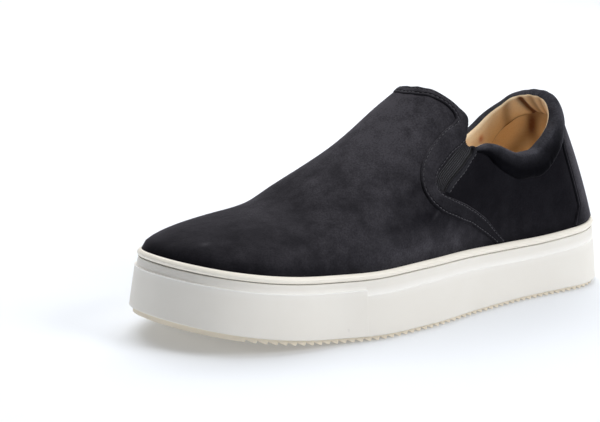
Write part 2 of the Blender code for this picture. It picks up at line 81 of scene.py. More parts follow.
# Side of the sole: share of the length, height of its top as a share of the sole height
SOLE_SIDE = (
    (0.00, 1.000),
    (0.25, 0.871),
    (0.50, 0.908),
    (0.72, 0.861),
    (1.00, 0.819),
)

# Last: station, crest height as a share of the tongue height, ridge shift, spread, round
LAST = (
    (0.00, 1.196, 0.00, 3.2, 2.2),
    (0.02, 1.192, 0.00, 3.2, 2.2),
    (0.07, 1.156, 0.00, 3.2, 2.2),
    (0.12, 1.146, 0.00, 3.2, 2.2),
    (0.18, 1.132, 0.00, 3.17, 2.2),
    (0.23, 1.131, 0.00, 3.1, 2.2),
    (0.29, 1.130, 0.00, 3.0, 2.2),
    (0.35, 1.093, 0.00, 2.75, 2.1),
    (0.40, 1.029, 0.00, 2.4, 2.0),
    (0.45, 0.991, -0.006, 2.35, 1.94),
    (0.50, 0.905, -0.080, 2.27, 1.88),
    (0.60, 0.731, -0.085, 2.1, 1.8),
    (0.70, 0.583, -0.10, 2.2, 1.9),
    (0.75, 0.503, -0.10, 2.3, 2.0),
    (0.80, 0.474, -0.10, 2.4, 2.0),
    (0.90, 0.454, -0.08, 2.4, 2.0),
    (1.00, 0.451, 0.00, 2.4, 2.0),
)

# Edge of the opening: share of the way from heel to toe, station, share across from the middle.
# The first and last rows lie past the middle, so that both sides join smoothly
OPENING = (
    (-0.021, 0.0200, -0.3537),
    (0.000, 0.0182, 0.0000),
    (0.021, 0.0200, 0.3537),
    (0.047, 0.0293, 0.6544),
    (0.086, 0.0559, 0.8396),
    (0.130, 0.0970, 0.9024),
    (0.179, 0.1509, 0.9270),
    (0.215, 0.1921, 0.9368),
    (0.253, 0.2355, 0.9371),
    (0.300, 0.2891, 0.9246),
    (0.350, 0.3458, 0.8878),
    (0.395, 0.3940, 0.8450),
    (0.440, 0.4140, 0.8000),
    (0.485, 0.4090, 0.7520),
    (0.530, 0.4005, 0.7000),
    (0.600, 0.4181, 0.6040),
    (0.720, 0.4453, 0.4350),
    (0.800, 0.4566, 0.3050),
    (0.900, 0.4663, 0.1550),
    (0.960, 0.4669, 0.0620),
    (1.000, 0.4674, 0.0000),
    (1.040, 0.4669, -0.0620),
)


def column(table, index, share):
    """Smooth curve through one column of a table; no wiggle between the rows."""
    x = np.array([row[0] for row in table], float)
    y = np.array([row[index] for row in table], float)
    gap = np.diff(x)
    rise = np.diff(y) / gap
    slope = np.zeros(len(x))
    for i in range(1, len(x) - 1):
        if rise[i - 1] * rise[i] > 0:
            a = 2 * gap[i] + gap[i - 1]
            b = gap[i] + 2 * gap[i - 1]
            slope[i] = (a + b) / (a / rise[i - 1] + b / rise[i])
    slope[0] = rise[0]
    slope[-1] = rise[-1]
    s = np.clip(np.asarray(share, float), x[0], x[-1])
    i = np.clip(np.searchsorted(x, s, side="right") - 1, 0, len(x) - 2)
    t = (s - x[i]) / gap[i]
    start = (2 * t**3 - 3 * t**2 + 1) * y[i] + (t**3 - 2 * t**2 + t) * gap[i] * slope[i]
    end = (3 * t**2 - 2 * t**3) * y[i + 1] + (t**3 - t**2) * gap[i] * slope[i + 1]
    return start + end


def ease(start, end, value):
    t = np.clip((np.asarray(value, float) - start) / (end - start), 0, 1)
    return t * t * (3 - 2 * t)


def bell(value, half):
    """1 at zero, fading on both sides over a half width."""
    return np.exp(-(value / half)**2)


def round_edge(distance, radius):
    """Quarter circle: 0 at an edge, 1 from the radius inwards."""
    return np.sqrt(np.clip(1 - (1 - np.clip(distance / radius, 0, 1))**2, 0, 1))


def straight(table, share):
    """Straight lines through the first two columns of a table."""
    return np.interp(share, [row[0] for row in table], [row[1] for row in table])


def unit(vector):
    return vector / np.linalg.norm(vector, axis=-1, keepdims=True)


def walked(points):
    """Length along a line of points, from its start."""
    return np.concatenate([[0], np.cumsum(np.linalg.norm(np.diff(points, axis=0), axis=1))])


FEATHER_LENGTH = LENGTH - 2 * SOLE_MARGIN


def ground(y):
    """Height of the tread's lowest points: flat, then rising to the toe."""
    share = 0.5 - np.asarray(y, float) / LENGTH
    return TOE_SPRING * np.clip((share - 0.62) / 0.38, 0, 1)**2


def sole_top(y):
    """Height of the seam between upper and sole."""
    share = 0.5 - np.asarray(y, float) / LENGTH
    return ground(y) + SOLE_HEIGHT * column(SOLE_SIDE, 1, share)


def middle(station):
    return TOE_SHIFT * np.clip((station - 0.6) / 0.4, 0, 1)**2


def half_width(station, lateral):
    wide = np.where(lateral, column(FEATHER, 1, station), column(FEATHER, 2, station))
    return wide * BALL_WIDTH - np.where(lateral, 1, -1) * middle(station)


def end_caps(station):
    """Share of the half width that the rounded ends leave, and the part they take."""
    back = np.clip(1 - station / HEEL_CAP, 0, 1)
    front = np.clip((station - 1 + TOE_CAP) / TOE_CAP, 0, 1)
    power = np.where(station > 0.5, TOE_POWER, HEEL_POWER)
    taken = np.clip(back**HEEL_POWER + front**TOE_POWER, 0, 1)
    return (1 - taken)**(1 / power), taken, power


def side_arc(lateral):
    """Share of the side's length at each turn from heel (0) to toe (pi)."""
    turn = np.linspace(0, math.pi, 2001)
    station = (1 - np.cos(turn)) / 2
    x = half_width(station, lateral) * end_caps(station)[0]
    y = FEATHER_LENGTH * (0.5 - station)
    length = np.concatenate([[0], np.cumsum(np.hypot(np.diff(x), np.diff(y)))])
    return length / length[-1], turn


LATERAL_ARC = side_arc(True)
MEDIAL_ARC = side_arc(False)


def side_share(around):
    """Side, and share of the way from heel to toe, from the share of the way round."""
    around = np.mod(np.asarray(around, float), 1.0)
    lateral = around <= 0.5
    return lateral, np.where(lateral, 2 * around, 2 - 2 * around)


def feather(around):
    """Plan point of the seam between upper and sole: heel, lateral side, toe, medial side."""
    lateral, share = side_share(around)
    turn = np.where(lateral, np.interp(share, *LATERAL_ARC), np.interp(share, *MEDIAL_ARC))
    station = (1 - np.cos(turn)) / 2
    side = np.where(lateral, 1, -1)
    x = middle(station) + side * half_width(station, lateral) * end_caps(station)[0]
    return np.stack([x, FEATHER_LENGTH * (0.5 - station)], -1)


def outward(around):
    """Plan direction square to the feather line."""
    along = unit(feather(np.asarray(around) + 0.001) - feather(np.asarray(around) - 0.001))
    return np.stack([-along[..., 1], along[..., 0]], -1)


def opening(around):
    """Plan point under the edge of the opening, before the heel leans."""
    lateral, share = side_share(around)
    station = column(OPENING, 1, share)
    side = np.where(lateral, 1, -1)
    reach = side * column(OPENING, 2, share) * end_caps(station)[0]
    x = middle(station) + reach * half_width(station, lateral)
    return np.stack([x, FEATHER_LENGTH * (0.5 - station)], -1)


def last(x, y):
    """Point on the last over a plan point."""
    station = 0.5 - y / FEATHER_LENGTH
    centre = middle(station)
    lateral = x >= centre
    left, taken, power = end_caps(station)
    share = (x - centre) / half_width(station, lateral)
    share = np.clip(share / np.maximum(left, 1e-6), -1, 1)
    share = share - column(LAST, 2, station) * (1 - share**2)
    radius = np.clip((np.abs(share * left)**power + taken)**(1 / power), 0, 1)
    seam = sole_top(y)
    crest = TONGUE_HEIGHT * column(LAST, 1, station)
    rounding = (1 - radius**column(LAST, 3, station))**(1 / column(LAST, 4, station))
    z = seam + (crest - seam) * rounding
    tilt = np.clip((z - LEAN_FROM) / (LEAN_TO - LEAN_FROM), 0, 2)**LEAN_POWER
    forward = LEAN * tilt * (1 - ease(*LEAN_SPAN, station))
    return np.stack([x, y - forward, z], -1)


RAIL_SAMPLES = np.linspace(0, 1, 141)**3


def rails(around):
    """Lines up the last from the feather line to the opening, and their lengths so far."""
    start = feather(around)[..., None, :]
    end = opening(around)[..., None, :]
    plan = start + (end - start) * RAIL_SAMPLES[:, None]
    line = last(plan[..., 0], plan[..., 1])
    steps = np.linalg.norm(np.diff(line, axis=-2), axis=-1)
    so_far = np.concatenate([np.zeros(steps.shape[:-1] + (1,)), np.cumsum(steps, -1)], -1)
    return line, so_far


# Fine grid over the last, with its normals and lengths
GRID_AROUND = 1440
GRID_UP = 400

# Worn shape of the tongue's edge: share round, half width, lift
TONGUE_TRIM = ((0.605, 0.050, -0.0009), (0.448, 0.026, 0.0009), (0.380, 0.070, 0.0009))


def make_grid():
    turn = np.arange(GRID_AROUND) / GRID_AROUND
    line, so_far = rails(turn)
    up = np.linspace(0, 1, GRID_UP + 1)
    grid = np.empty((GRID_AROUND, GRID_UP + 1, 3))
    for i in range(GRID_AROUND):
        for axis in range(3):
            grid[i, :, axis] = np.interp(up * so_far[i, -1], so_far[i], line[i, :, axis])
    for centre, half, lift in TONGUE_TRIM:
        grid[..., 2] += lift * bell(turn - centre, half)[:, None] * ease(0.82, 1.0, up)
    along = np.roll(grid, -3, axis=0) - np.roll(grid, 3, axis=0)
    step = np.arange(GRID_UP + 1)
    rise = grid[:, np.minimum(step + 4, GRID_UP)] - grid[:, np.maximum(step - 4, 0)]
    return grid, unit(np.cross(rise, along)), so_far[:, -1]


GRID, NORMALS, LENGTHS = make_grid()


def look(values, around, up):
    """Value of a grid at shares of the way round and up."""
    around, up = np.broadcast_arrays(np.asarray(around, float), np.asarray(up, float))
    a = np.mod(around, 1.0) * GRID_AROUND
    u = np.clip(up, 0, 1) * GRID_UP
    i = np.floor(a).astype(int)
    j = np.minimum(np.floor(u).astype(int), GRID_UP - 1)
    fa = a - i
    fu = u - j
    if values.ndim == 3:
        fa = fa[..., None]
        fu = fu[..., None]
    i, k = i % GRID_AROUND, (i + 1) % GRID_AROUND
    low = values[i, j] * (1 - fa) + values[k, j] * fa
    high = values[i, j + 1] * (1 - fa) + values[k, j + 1] * fa
    return low * (1 - fu) + high * fu


def rail_length(around):
    place = np.mod(around, 1.0) * GRID_AROUND
    return np.interp(place, np.arange(GRID_AROUND + 1), np.append(LENGTHS, LENGTHS[0]))


def place_on(around, up, turn):
    """Point and normal of a place on the upper, and the directions along and across a mark there."""
    normal = look(NORMALS, around, up)
    rise = unit(look(GRID, around, up + 0.01) - look(GRID, around, up - 0.01))
    angle = math.radians(turn)
    line = np.cross(rise, normal) * math.cos(angle) + rise * math.sin(angle)
    return look(GRID, around, up), normal, line, np.cross(normal, line)


# A ridge on each side of a trough: its share of the depth, and how many half widths away it stands
RIDGE_HIGH = 0.35
RIDGE_AWAY = 1.9

# Soft troughs of the upper: share round, share up, turn in degrees, half run, half width, depth
TROUGHS = (
    (0.2765, 0.200, 35.0, 0.0080, 0.0028, 0.00050),
    (0.2780, 0.250, 20.0, 0.0060, 0.0022, 0.00030),
    (0.3080, 0.420, 70.0, 0.0130, 0.0040, 0.00030),
    (0.3520, 0.550, 80.0, 0.0160, 0.0060, 0.00035),
    (0.1500, 0.300, 85.0, 0.0120, 0.0050, 0.00040),
    (0.0900, 0.350, 80.0, 0.0120, 0.0050, 0.00030),
    (0.4034, 0.430, -15.0, 0.0190, 0.0060, 0.00045),
    (0.4458, 0.690, 10.0, 0.0150, 0.0070, 0.00030),
)


def make_relief():
    """Height that the troughs and their side ridges add to the outer surface."""
    relief = np.zeros(GRID.shape[:2])
    for around, up, turn, run, wide, depth in TROUGHS:
        centre, normal, line, across = place_on(around, up, turn)
        offset = GRID - centre
        away = offset @ across / wide
        shape = RIDGE_HIGH * (bell(away - RIDGE_AWAY, 1) + bell(away + RIDGE_AWAY, 1)) - bell(away, 1)
        relief += depth * shape * bell(offset @ line, run) * bell(offset @ normal, 0.02)
    return relief


RELIEF = make_relief()


def skin(around, up, out=0.0, plain=False):
    """Points of the upper's surface, moved out along its normal, with or without the troughs."""
    point = look(GRID, around, up)
    lift = np.asarray(out, float) + (0.0 if plain else look(RELIEF, around, up))
    return point + unit(look(NORMALS, around, up)) * np.broadcast_to(lift, point.shape[:-1])[..., None]


# Sizes of the sole, as in the part
GAP = 0.0003
TREAD = 0.0026
OUTSOLE_THICK = 0.0045
OUTSOLE_INSET = 0.0018
STRIP_HEIGHT = 0.0039
STRIP_WIDE = 0.0017
RIM_OUT = 0.0014
SHELF_OUT = 0.0022
STEP_OUT = 0.0033
STEP_OUT_BACK = 0.0029
STEP_DROP = 0.0079
STEP_DROP_BACK = 0.0108
BUMPER_END = 0.689
BUMPER_EDGE = 0.0003
FLOOR = (
    (0.00, 0.630),
    (0.30, 0.590),
    (0.50, 0.499),
    (0.68, 0.407),
    (1.00, 0.407),
)

# Sizes of the upper, as in the part
WALL = 0.0022
TONGUE_THICK = 0.0028
COLLAR_THICK = 0.0064
COLLAR_DEPTH = 0.0168
PAD = 0.0026
OVERLAY_GAP = 0.0005
COLLAR = (
    (-0.086, 0.667, 0.95),
    (0.000, 0.655, 0.90),
    (0.086, 0.667, 0.95),
    (0.142, 0.893, 1.00),
    (0.186, 1.000, 1.00),
    (0.231, 0.923, 1.00),
    (0.283, 0.881, 1.00),
    (0.339, 0.804, 0.85),
    (0.378, 0.536, 0.40),
    (0.410, 0.476, 0.00),
    (0.550, 0.476, 0.00),
    (1.000, 0.476, 0.00),
)
BAND = (
    (1.000, 0.993, 1.000, 0.962),
    (0.900, 0.993, 0.900, 0.961),
    (0.800, 0.993, 0.803, 0.960),
    (0.719, 0.992, 0.724, 0.955),
    (0.638, 0.990, 0.652, 0.947),
    (0.572, 0.988, 0.600, 0.930),
    (0.515, 0.985, 0.584, 0.905),
    (0.480, 0.965, 0.590, 0.865),
    (0.482, 0.900, 0.611, 0.818),
    (0.510, 0.800, 0.640, 0.745),
    (0.543, 0.693, 0.651, 0.685),
    (0.562, 0.618, 0.650, 0.628),
    (0.572, 0.562, 0.643, 0.583),
    (0.569, 0.515, 0.631, 0.535),
    (0.556, 0.468, 0.611, 0.475),
    (0.539, 0.435, 0.584, 0.410),
    (0.515, 0.422, 0.555, 0.352),
    (0.483, 0.424, 0.518, 0.305),
    (0.444, 0.425, 0.464, 0.275),
    (0.412, 0.390, 0.425, 0.242),
    (0.380, 0.300, 0.396, 0.173),
    (0.347, 0.135, 0.367, 0.080),
    (0.323, 0.014, 0.347, 0.014),
)
BAND_THICK = 0.0010
GORE = (
    (0.470, 1.000, 0.402, 1.000),
    (0.497, 0.880, 0.408, 0.930),
    (0.531, 0.770, 0.428, 0.845),
    (0.553, 0.693, 0.460, 0.713),
    (0.572, 0.618, 0.494, 0.590),
    (0.582, 0.562, 0.513, 0.527),
    (0.574, 0.500, 0.522, 0.482),
    (0.553, 0.445, 0.527, 0.445),
)
GORE_THICK = 0.0012
GORE_RECESS = 0.0004
GORE_DROP = 0.0012
HEEL_STRIP = (
    (0.014, 0.142),
    (0.108, 0.131),
    (0.183, 0.119),
    (0.508, 0.118),
    (0.700, 0.117),
    (0.790, 0.112),
)
HEEL_STRIP_THICK = 0.0006


def placed(name, data):
    """New object in the scene."""
    made = bpy.data.objects.new(name, data)
    bpy.context.scene.collection.objects.link(made)
    return made


def add_mesh(name, points, faces, materials, slots=None):
    """Smooth-shaded object from points and faces in the frame of the shoe."""
    mesh = bpy.data.meshes.new(name)
    mesh.from_pydata(points.tolist(), [], faces.tolist() if isinstance(faces, np.ndarray) else faces)
    form = bmesh.new()
    form.from_mesh(mesh)
    bmesh.ops.recalc_face_normals(form, faces=form.faces[:])
    form.to_mesh(mesh)
    form.free()
    for material in materials:
        mesh.materials.append(material)
    if slots is not None:
        mesh.polygons.foreach_set("material_index", np.asarray(slots, np.int32))
    mesh.polygons.foreach_set("use_smooth", np.ones(len(mesh.polygons), bool))
    mesh.update()
    return placed(name, mesh)


def mark(piece, name, values):
    """Value for each point of a piece, for its material."""
    layer = piece.data.attributes.new(name, "FLOAT", "POINT")
    layer.data.foreach_set("value", np.asarray(values, np.float32).ravel())


def points_of(piece):
    """Points of a piece and its normals there."""
    count = len(piece.data.vertices)
    points, normals = np.empty(count * 3), np.empty(count * 3)
    piece.data.vertices.foreach_get("co", points)
    piece.data.vertex_normals.foreach_get("vector", normals)
    return points.reshape(-1, 3), normals.reshape(-1, 3)


def quads(rows, columns, close_rows=False):
    """Faces of a grid of points: each row closes on itself, and the last row may join the first."""
    i, j = np.meshgrid(np.arange(rows if close_rows else rows - 1), np.arange(columns), indexing="ij")
    k, m = (i + 1) % rows, (j + 1) % columns
    corners = np.stack([i * columns + j, i * columns + m, k * columns + m, k * columns + j], -1)
    return corners.reshape(-1, 4)


def capped(rows, columns):
    """Faces of a tube of rows, closed at both ends."""
    faces = quads(rows, columns).tolist()
    faces.append(list(range(columns))[::-1])
    faces.append([(rows - 1) * columns + i for i in range(columns)])
    return faces


def both_sides(side):
    """Shares of the way round from shares of the way from heel to toe."""
    return np.concatenate([side / 2, (1 - side / 2)[::-1][1:-1]])


def ring(around, out, height):
    """Loop round the feather line, moved out, at a height that may follow each point."""
    out = np.broadcast_to(np.asarray(out, float), around.shape)
    plan = feather(around) + outward(around) * out[:, None]
    return np.column_stack([plan, height(plan[:, 1], feather(around)[:, 1])])


def seam_height(drop):
    return lambda own_y, feather_y: sole_top(feather_y) - drop


def tread_height(rise):
    return lambda own_y, feather_y: ground(own_y) + rise


def floor_height(rise):
    def height(own_y, feather_y):
        share = 0.5 - own_y / LENGTH
        return ground(own_y) + SOLE_HEIGHT * column(FLOOR, 1, share) + rise
    return height


def rounded(around, section):
    """Rings through a section: rows of distance out, height, and radius and steps of the soft corner."""
    places = [ring(around, out, height) for out, height, _, _ in section]
    rings = []
    for k, (_, _, radius, steps) in enumerate(section):
        here = places[k]
        if not radius:
            rings.append(here)
            continue
        ends = []
        for other in (places[k - 1], places[k + 1]):
            far = np.linalg.norm(other - here, axis=1, keepdims=True)
            ends.append(here + (other - here) * np.minimum(radius / (far + 1e-9), 0.48))
        for t in np.linspace(0, 1, steps):
            rings.append(ends[0] * (1 - t)**2 + here * (2 * t * (1 - t)) + ends[1] * t * t)
    return rings


def subdivided(rings, longest):
    """Rings with more between them where they are far apart."""
    out = [rings[0]]
    for a, b in zip(rings[:-1], rings[1:]):
        far = np.linalg.norm(b - a, axis=1).max()
        steps = max(1, int(math.ceil(far / longest)))
        for s in range(1, steps + 1):
            out.append(a + (b - a) * (s / steps))
    return out


# Materials
def set_values(node, **values):
    """Plain values of a node's inputs; _ stands for the space in a name."""
    for name, value in values.items():
        node.inputs[name.replace("_", " ")].default_value = value


def shader_of(name, color, rough, specular):
    """New material, its node tree and its surface shader."""
    material = bpy.data.materials.new(name)
    material.use_nodes = True
    tree = material.node_tree
    shader = tree.nodes["Principled BSDF"]
    set_values(shader, Base_Color=(*color, 1.0), Roughness=rough, Specular_IOR_Level=specular)
    return material, tree, shader


def own_metres(tree, node):
    """Lays a pattern over the object's own metres."""
    tree.links.new(tree.nodes.new("ShaderNodeTexCoord").outputs["Object"], node.inputs["Vector"])


def noise(tree, scale, detail=2.0, rough=0.6):
    node = tree.nodes.new("ShaderNodeTexNoise")
    set_values(node, Scale=scale, Detail=detail, Roughness=rough)
    own_metres(tree, node)
    return node.outputs["Fac"]


def ranged(tree, value, low, high, to_low=0.0, to_high=1.0):
    """Value moved from one range to another and held inside it."""
    node = tree.nodes.new("ShaderNodeMapRange")
    set_values(node, From_Min=low, From_Max=high, To_Min=to_low, To_Max=to_high)
    tree.links.new(value, node.inputs["Value"])
    return node.outputs["Result"]


def joined(tree, operation, a, b=None):
    """Sum, product or other function of values and sockets."""
    node = tree.nodes.new("ShaderNodeMath")
    node.operation = operation
    for socket, value in zip(node.inputs, (a, b)):
        if isinstance(value, (int, float)):
            socket.default_value = value
        elif value is not None:
            tree.links.new(value, socket)
    return node.outputs[0]


def times(tree, a, b):
    return joined(tree, "MULTIPLY", a, b)


def plus(tree, a, b):
    return joined(tree, "ADD", a, b)


def mixed(tree, share, first, second):
    """Colour between two colours or sockets, by a share from a socket."""
    node = tree.nodes.new("ShaderNodeMix")
    node.data_type = "RGBA"
    tree.links.new(share, node.inputs[0])
    for socket, value in ((node.inputs[6], first), (node.inputs[7], second)):
        if isinstance(value, tuple):
            socket.default_value = (*value, 1.0)
        else:
            tree.links.new(value, socket)
    return node.outputs[2]


def bumped(tree, shader, height, distance, strength):
    """Fine relief of a material."""
    node = tree.nodes.new("ShaderNodeBump")
    set_values(node, Strength=strength, Distance=distance)
    tree.links.new(height, node.inputs["Height"])
    tree.links.new(node.outputs["Normal"], shader.inputs["Normal"])


def attribute(tree, name):
    """Value that the mesh is marked with."""
    node = tree.nodes.new("ShaderNodeAttribute")
    node.attribute_name = name
    return node.outputs["Fac"]


def toned(color, share):
    """Colour made darker, or paler by a share over 1."""
    return tuple(channel * share for channel in color)


def nubuck(name, dark, pale, nap=1.0, sheen=0.13, marked=False, painted_light_color=(0.060, 0.057, 0.066)):
    """Brushed leather: mottled nap in two tones, faint hairs and a soft sheen.

    The mesh marks where light is painted on the nap as a paler colour; where marked, also scuffs and painted
    shade in the corner over the sole.
    """
    material, tree, shader = shader_of(name, dark, 0.9, 0.03)
    broad = noise(tree, 38.0, 3.0)
    patch = noise(tree, 150.0, 4.0, 0.65)
    fine = noise(tree, 1100.0, 3.0, 0.7)
    hair = noise(tree, 2600.0)
    tone = ranged(tree, plus(tree, times(tree, broad, 0.62), times(tree, patch, 0.38)), 0.38, 0.62)
    color = mixed(tree, tone, dark, pale)
    grain = times(tree, ranged(tree, fine, 0.35, 0.68), 0.55 * nap)
    color = mixed(tree, grain, color, toned(dark, 0.62))
    # Painted light: the nap is coloured paler where the mesh marks it as lit, mottled by its tone
    painted_light = times(tree, attribute(tree, "painted_light"), ranged(tree, tone, 0.0, 1.0, 0.62, 1.35))
    painted_light = times(tree, painted_light, ranged(tree, fine, 0.3, 0.7, 1.35, 0.60))
    color = mixed(tree, painted_light, color, painted_light_color)
    if marked:
        speck = ranged(tree, noise(tree, 420.0, 2.0, 0.5), 0.735, 0.80)
        color = mixed(tree, times(tree, speck, 0.5), color, toned(pale, 2.6))
        rubbed = times(tree, attribute(tree, "scuff"), ranged(tree, fine, 0.25, 0.6))
        color = mixed(tree, rubbed, color, (0.085, 0.082, 0.092))
        # Painted shade: nap darker in the corner over the bead, where the foot mark is high
        foot = times(tree, attribute(tree, "foot"), 0.35)
        color = mixed(tree, foot, color, (0.0012, 0.0012, 0.0016))
    tree.links.new(color, shader.inputs["Base Color"])
    height = plus(tree, times(tree, fine, 0.6), times(tree, hair, 0.4))
    bumped(tree, shader, plus(tree, height, times(tree, patch, 1.6)), 0.00016 * nap, 0.8)
    set_values(shader, Sheen_Weight=sheen, Sheen_Roughness=0.32, Sheen_Tint=(0.88, 0.84, 0.95, 1.0))
    return material


def rubber(name, color, shade, rough, grain, strength=0.6, marked=False):
    """Moulded rubber with faint tone changes, fine grain and specks of dust.

    Where marked, the mesh says where a painted highlight lies along its step edge and where the grain is
    strong.
    """
    material, tree, shader = shader_of(name, color, rough, 0.4)
    broad = ranged(tree, noise(tree, 26.0, 3.0), 0.35, 0.65)
    fine = noise(tree, 1500.0, 3.0)
    mix = mixed(tree, times(tree, broad, 0.35), color, shade)
    speck = ranged(tree, noise(tree, 330.0, 2.0, 0.5), 0.74, 0.80)
    mix = mixed(tree, times(tree, speck, 0.20), mix, toned(shade, 0.55))
    height = fine
    if marked:
        # Painted highlight: near-white colour along the step edge, where the edge mark is high
        mix = mixed(tree, attribute(tree, "edge"), mix, (1.0, 0.985, 0.95))
        mix = mixed(tree, times(tree, attribute(tree, "grain"), 0.35), mix, (0.66, 0.64, 0.60))
        coarse = times(tree, noise(tree, 1250.0), attribute(tree, "grain"))
        height = plus(tree, times(tree, fine, 0.12), coarse)
    tree.links.new(mix, shader.inputs["Base Color"])
    tree.links.new(ranged(tree, fine, 0.3, 0.7, rough - 0.06, rough + 0.08), shader.inputs["Roughness"])
    bumped(tree, shader, height, grain, strength)
    return material


NUBUCK = nubuck("nubuck_vamp", (0.0056, 0.0053, 0.0074), (0.0098, 0.0094, 0.0122), marked=True)
NUBUCK_BAND = nubuck("nubuck_band", (0.0058, 0.0056, 0.0076), (0.0110, 0.0107, 0.0134), nap=1.6)
# Collar nubuck: a copy painted darker for the shade under the roll; its top gets a painted highlight in the
# paler colour
NUBUCK_COLLAR_SHADED = nubuck("nubuck_collar_shaded", (0.0016, 0.0016, 0.0026), (0.0034, 0.0034, 0.0050), 0.8, 0.05,
                       painted_light_color=(0.060, 0.059, 0.070))
# Turned-edge nubuck: paler, partly for the wear of a folded edge, partly a painted highlight along the fold
NUBUCK_EDGE_WORN_AND_LIT = nubuck("nubuck_edge_worn_and_lit", (0.0180, 0.0176, 0.0215), (0.0300, 0.0295, 0.0340), sheen=0.2)
WALL_RUBBER = rubber("rubber_wall", (0.90, 0.87, 0.81), (0.85, 0.81, 0.74), 0.5, 0.00016, 0.8, True)
STRIP_RUBBER = rubber("rubber_bead", (0.96, 0.915, 0.82), (0.92, 0.865, 0.765), 0.42, 0.00001)
TREAD_RUBBER = rubber("rubber_tread", (0.90, 0.815, 0.665), (0.83, 0.73, 0.57), 0.6, 0.00004)


def lining_leather():
    """Tan lining leather: pores, soft blotches, painted shade in folds and along the seam, and a darker
    dent, where the mesh marks them.
    """
    material, tree, shader = shader_of("lining_leather", (0.52, 0.28, 0.12), 0.55, 0.4)
    broad = ranged(tree, noise(tree, 55.0, 4.0), 0.34, 0.66)
    fine = noise(tree, 900.0, 3.0)
    pores = tree.nodes.new("ShaderNodeTexVoronoi")
    set_values(pores, Scale=1100.0)
    own_metres(tree, pores)
    color = mixed(tree, broad, (0.96, 0.695, 0.410), (0.985, 0.800, 0.540))
    pore = ranged(tree, pores.outputs["Distance"], 0.0, 0.45, 1.0, 0.0)
    color = mixed(tree, times(tree, pore, 0.16), color, (0.26, 0.11, 0.04))
    # Painted shade in folds, creases and along the seam, where the shade mark is high
    color = mixed(tree, attribute(tree, "shade"), color, (0.13, 0.043, 0.009))
    # Darker, redder colour over the lining's dent
    color = mixed(tree, attribute(tree, "dent_tint"), color, (0.60, 0.24, 0.12))
    tree.links.new(color, shader.inputs["Base Color"])
    bumped(tree, shader, joined(tree, "SUBTRACT", times(tree, fine, 0.8), pore), 0.00010, 0.7)
    tree.links.new(ranged(tree, fine, 0.3, 0.7, 0.48, 0.66), shader.inputs["Roughness"])
    set_values(shader, Sheen_Weight=0.15, Sheen_Roughness=0.5)
    return material


LINING = lining_leather()


GORE_RIBS = 9
GORE_YARNS = 52


def elastic():
    """Black elastic webbing: fine cross yarns over the lengthwise ribs, with painted light on the ribs' tops
    and painted shade in their hollows and along both edges.
    """
    material, tree, shader = shader_of("gore_elastic", (0.010, 0.010, 0.013), 0.8, 0.3)
    along = attribute(tree, "along")
    across = attribute(tree, "across")
    yarn = joined(tree, "SINE", times(tree, along, 2 * math.pi * GORE_YARNS))
    rib_painted_light = ranged(tree, joined(tree, "COSINE", times(tree, across, 2 * math.pi * GORE_RIBS)), -1.0, 1.0)
    # Painted light and shade: ribs paler on their tops and darker in their hollows
    color = mixed(tree, rib_painted_light, (0.0008, 0.0008, 0.0012), (0.046, 0.045, 0.054))
    edge = joined(tree, "ABSOLUTE", joined(tree, "SUBTRACT", across, 0.5))
    # Painted shade along both edges, where the elastic sinks under the leather
    color = mixed(tree, ranged(tree, edge, 0.37, 0.43), color, (0.0005, 0.0005, 0.0008))
    spread = ranged(tree, noise(tree, 800.0, 2.0, 0.55), 0.3, 0.7, 0.75, 1.0)
    tree.links.new(mixed(tree, spread, (0.002, 0.002, 0.003), color), shader.inputs["Base Color"])
    bumped(tree, shader, yarn, 0.00010, 0.7)
    set_values(shader, Sheen_Weight=0.15)
    return material


ELASTIC = elastic()


def thread():
    material, tree, shader = shader_of("thread", (0.022, 0.022, 0.028), 0.6, 0.4)
    twist = noise(tree, 2200.0, 2.0, 0.55)
    color = mixed(tree, ranged(tree, twist, 0.3, 0.7), (0.030, 0.030, 0.036), (0.110, 0.108, 0.118))
    tree.links.new(color, shader.inputs["Base Color"])
    bumped(tree, shader, twist, 0.00010, 0.6)
    return material


THREAD = thread()


# Pieces of the sole

# Steps from heel to toe, and the longest step up the side of the cup
SOLE_STEPS = 420
SIDE_STEP = 0.0040

# Height of the bead as a share of the strip's, from heel to toe
BEAD_TALL = ((0.0, 1.05), (0.45, 1.06), (0.62, 0.93), (1.0, 0.90))


def bead_height(around):
    return STRIP_HEIGHT * column(BEAD_TALL, 1, side_share(around)[1])


def bumper_step():
    """Share of the way from heel to toe where the toe bumper begins, and half of its short step."""
    share = np.linspace(0.5, 0.9, 801)
    y = feather(share / 2)[:, 1]
    return np.interp(0.5 - BUMPER_END, (y / LENGTH)[::-1], share[::-1]), BUMPER_EDGE / 2 / LENGTH


def bumper_front(share):
    """1 on the toe bumper and 0 behind it."""
    place, half = bumper_step()
    return ease(place - half, place + half, share)


def sole_stations():
    """Even stations round the shoe, with a few more at the bumper's ends."""
    place, half = bumper_step()
    extra = place + half * np.array([-2.2, -1.0, -0.6, -0.2, 0.2, 0.6, 1.0, 2.2])
    return both_sides(np.sort(np.concatenate([np.linspace(0, 1, SOLE_STEPS + 1), extra])))


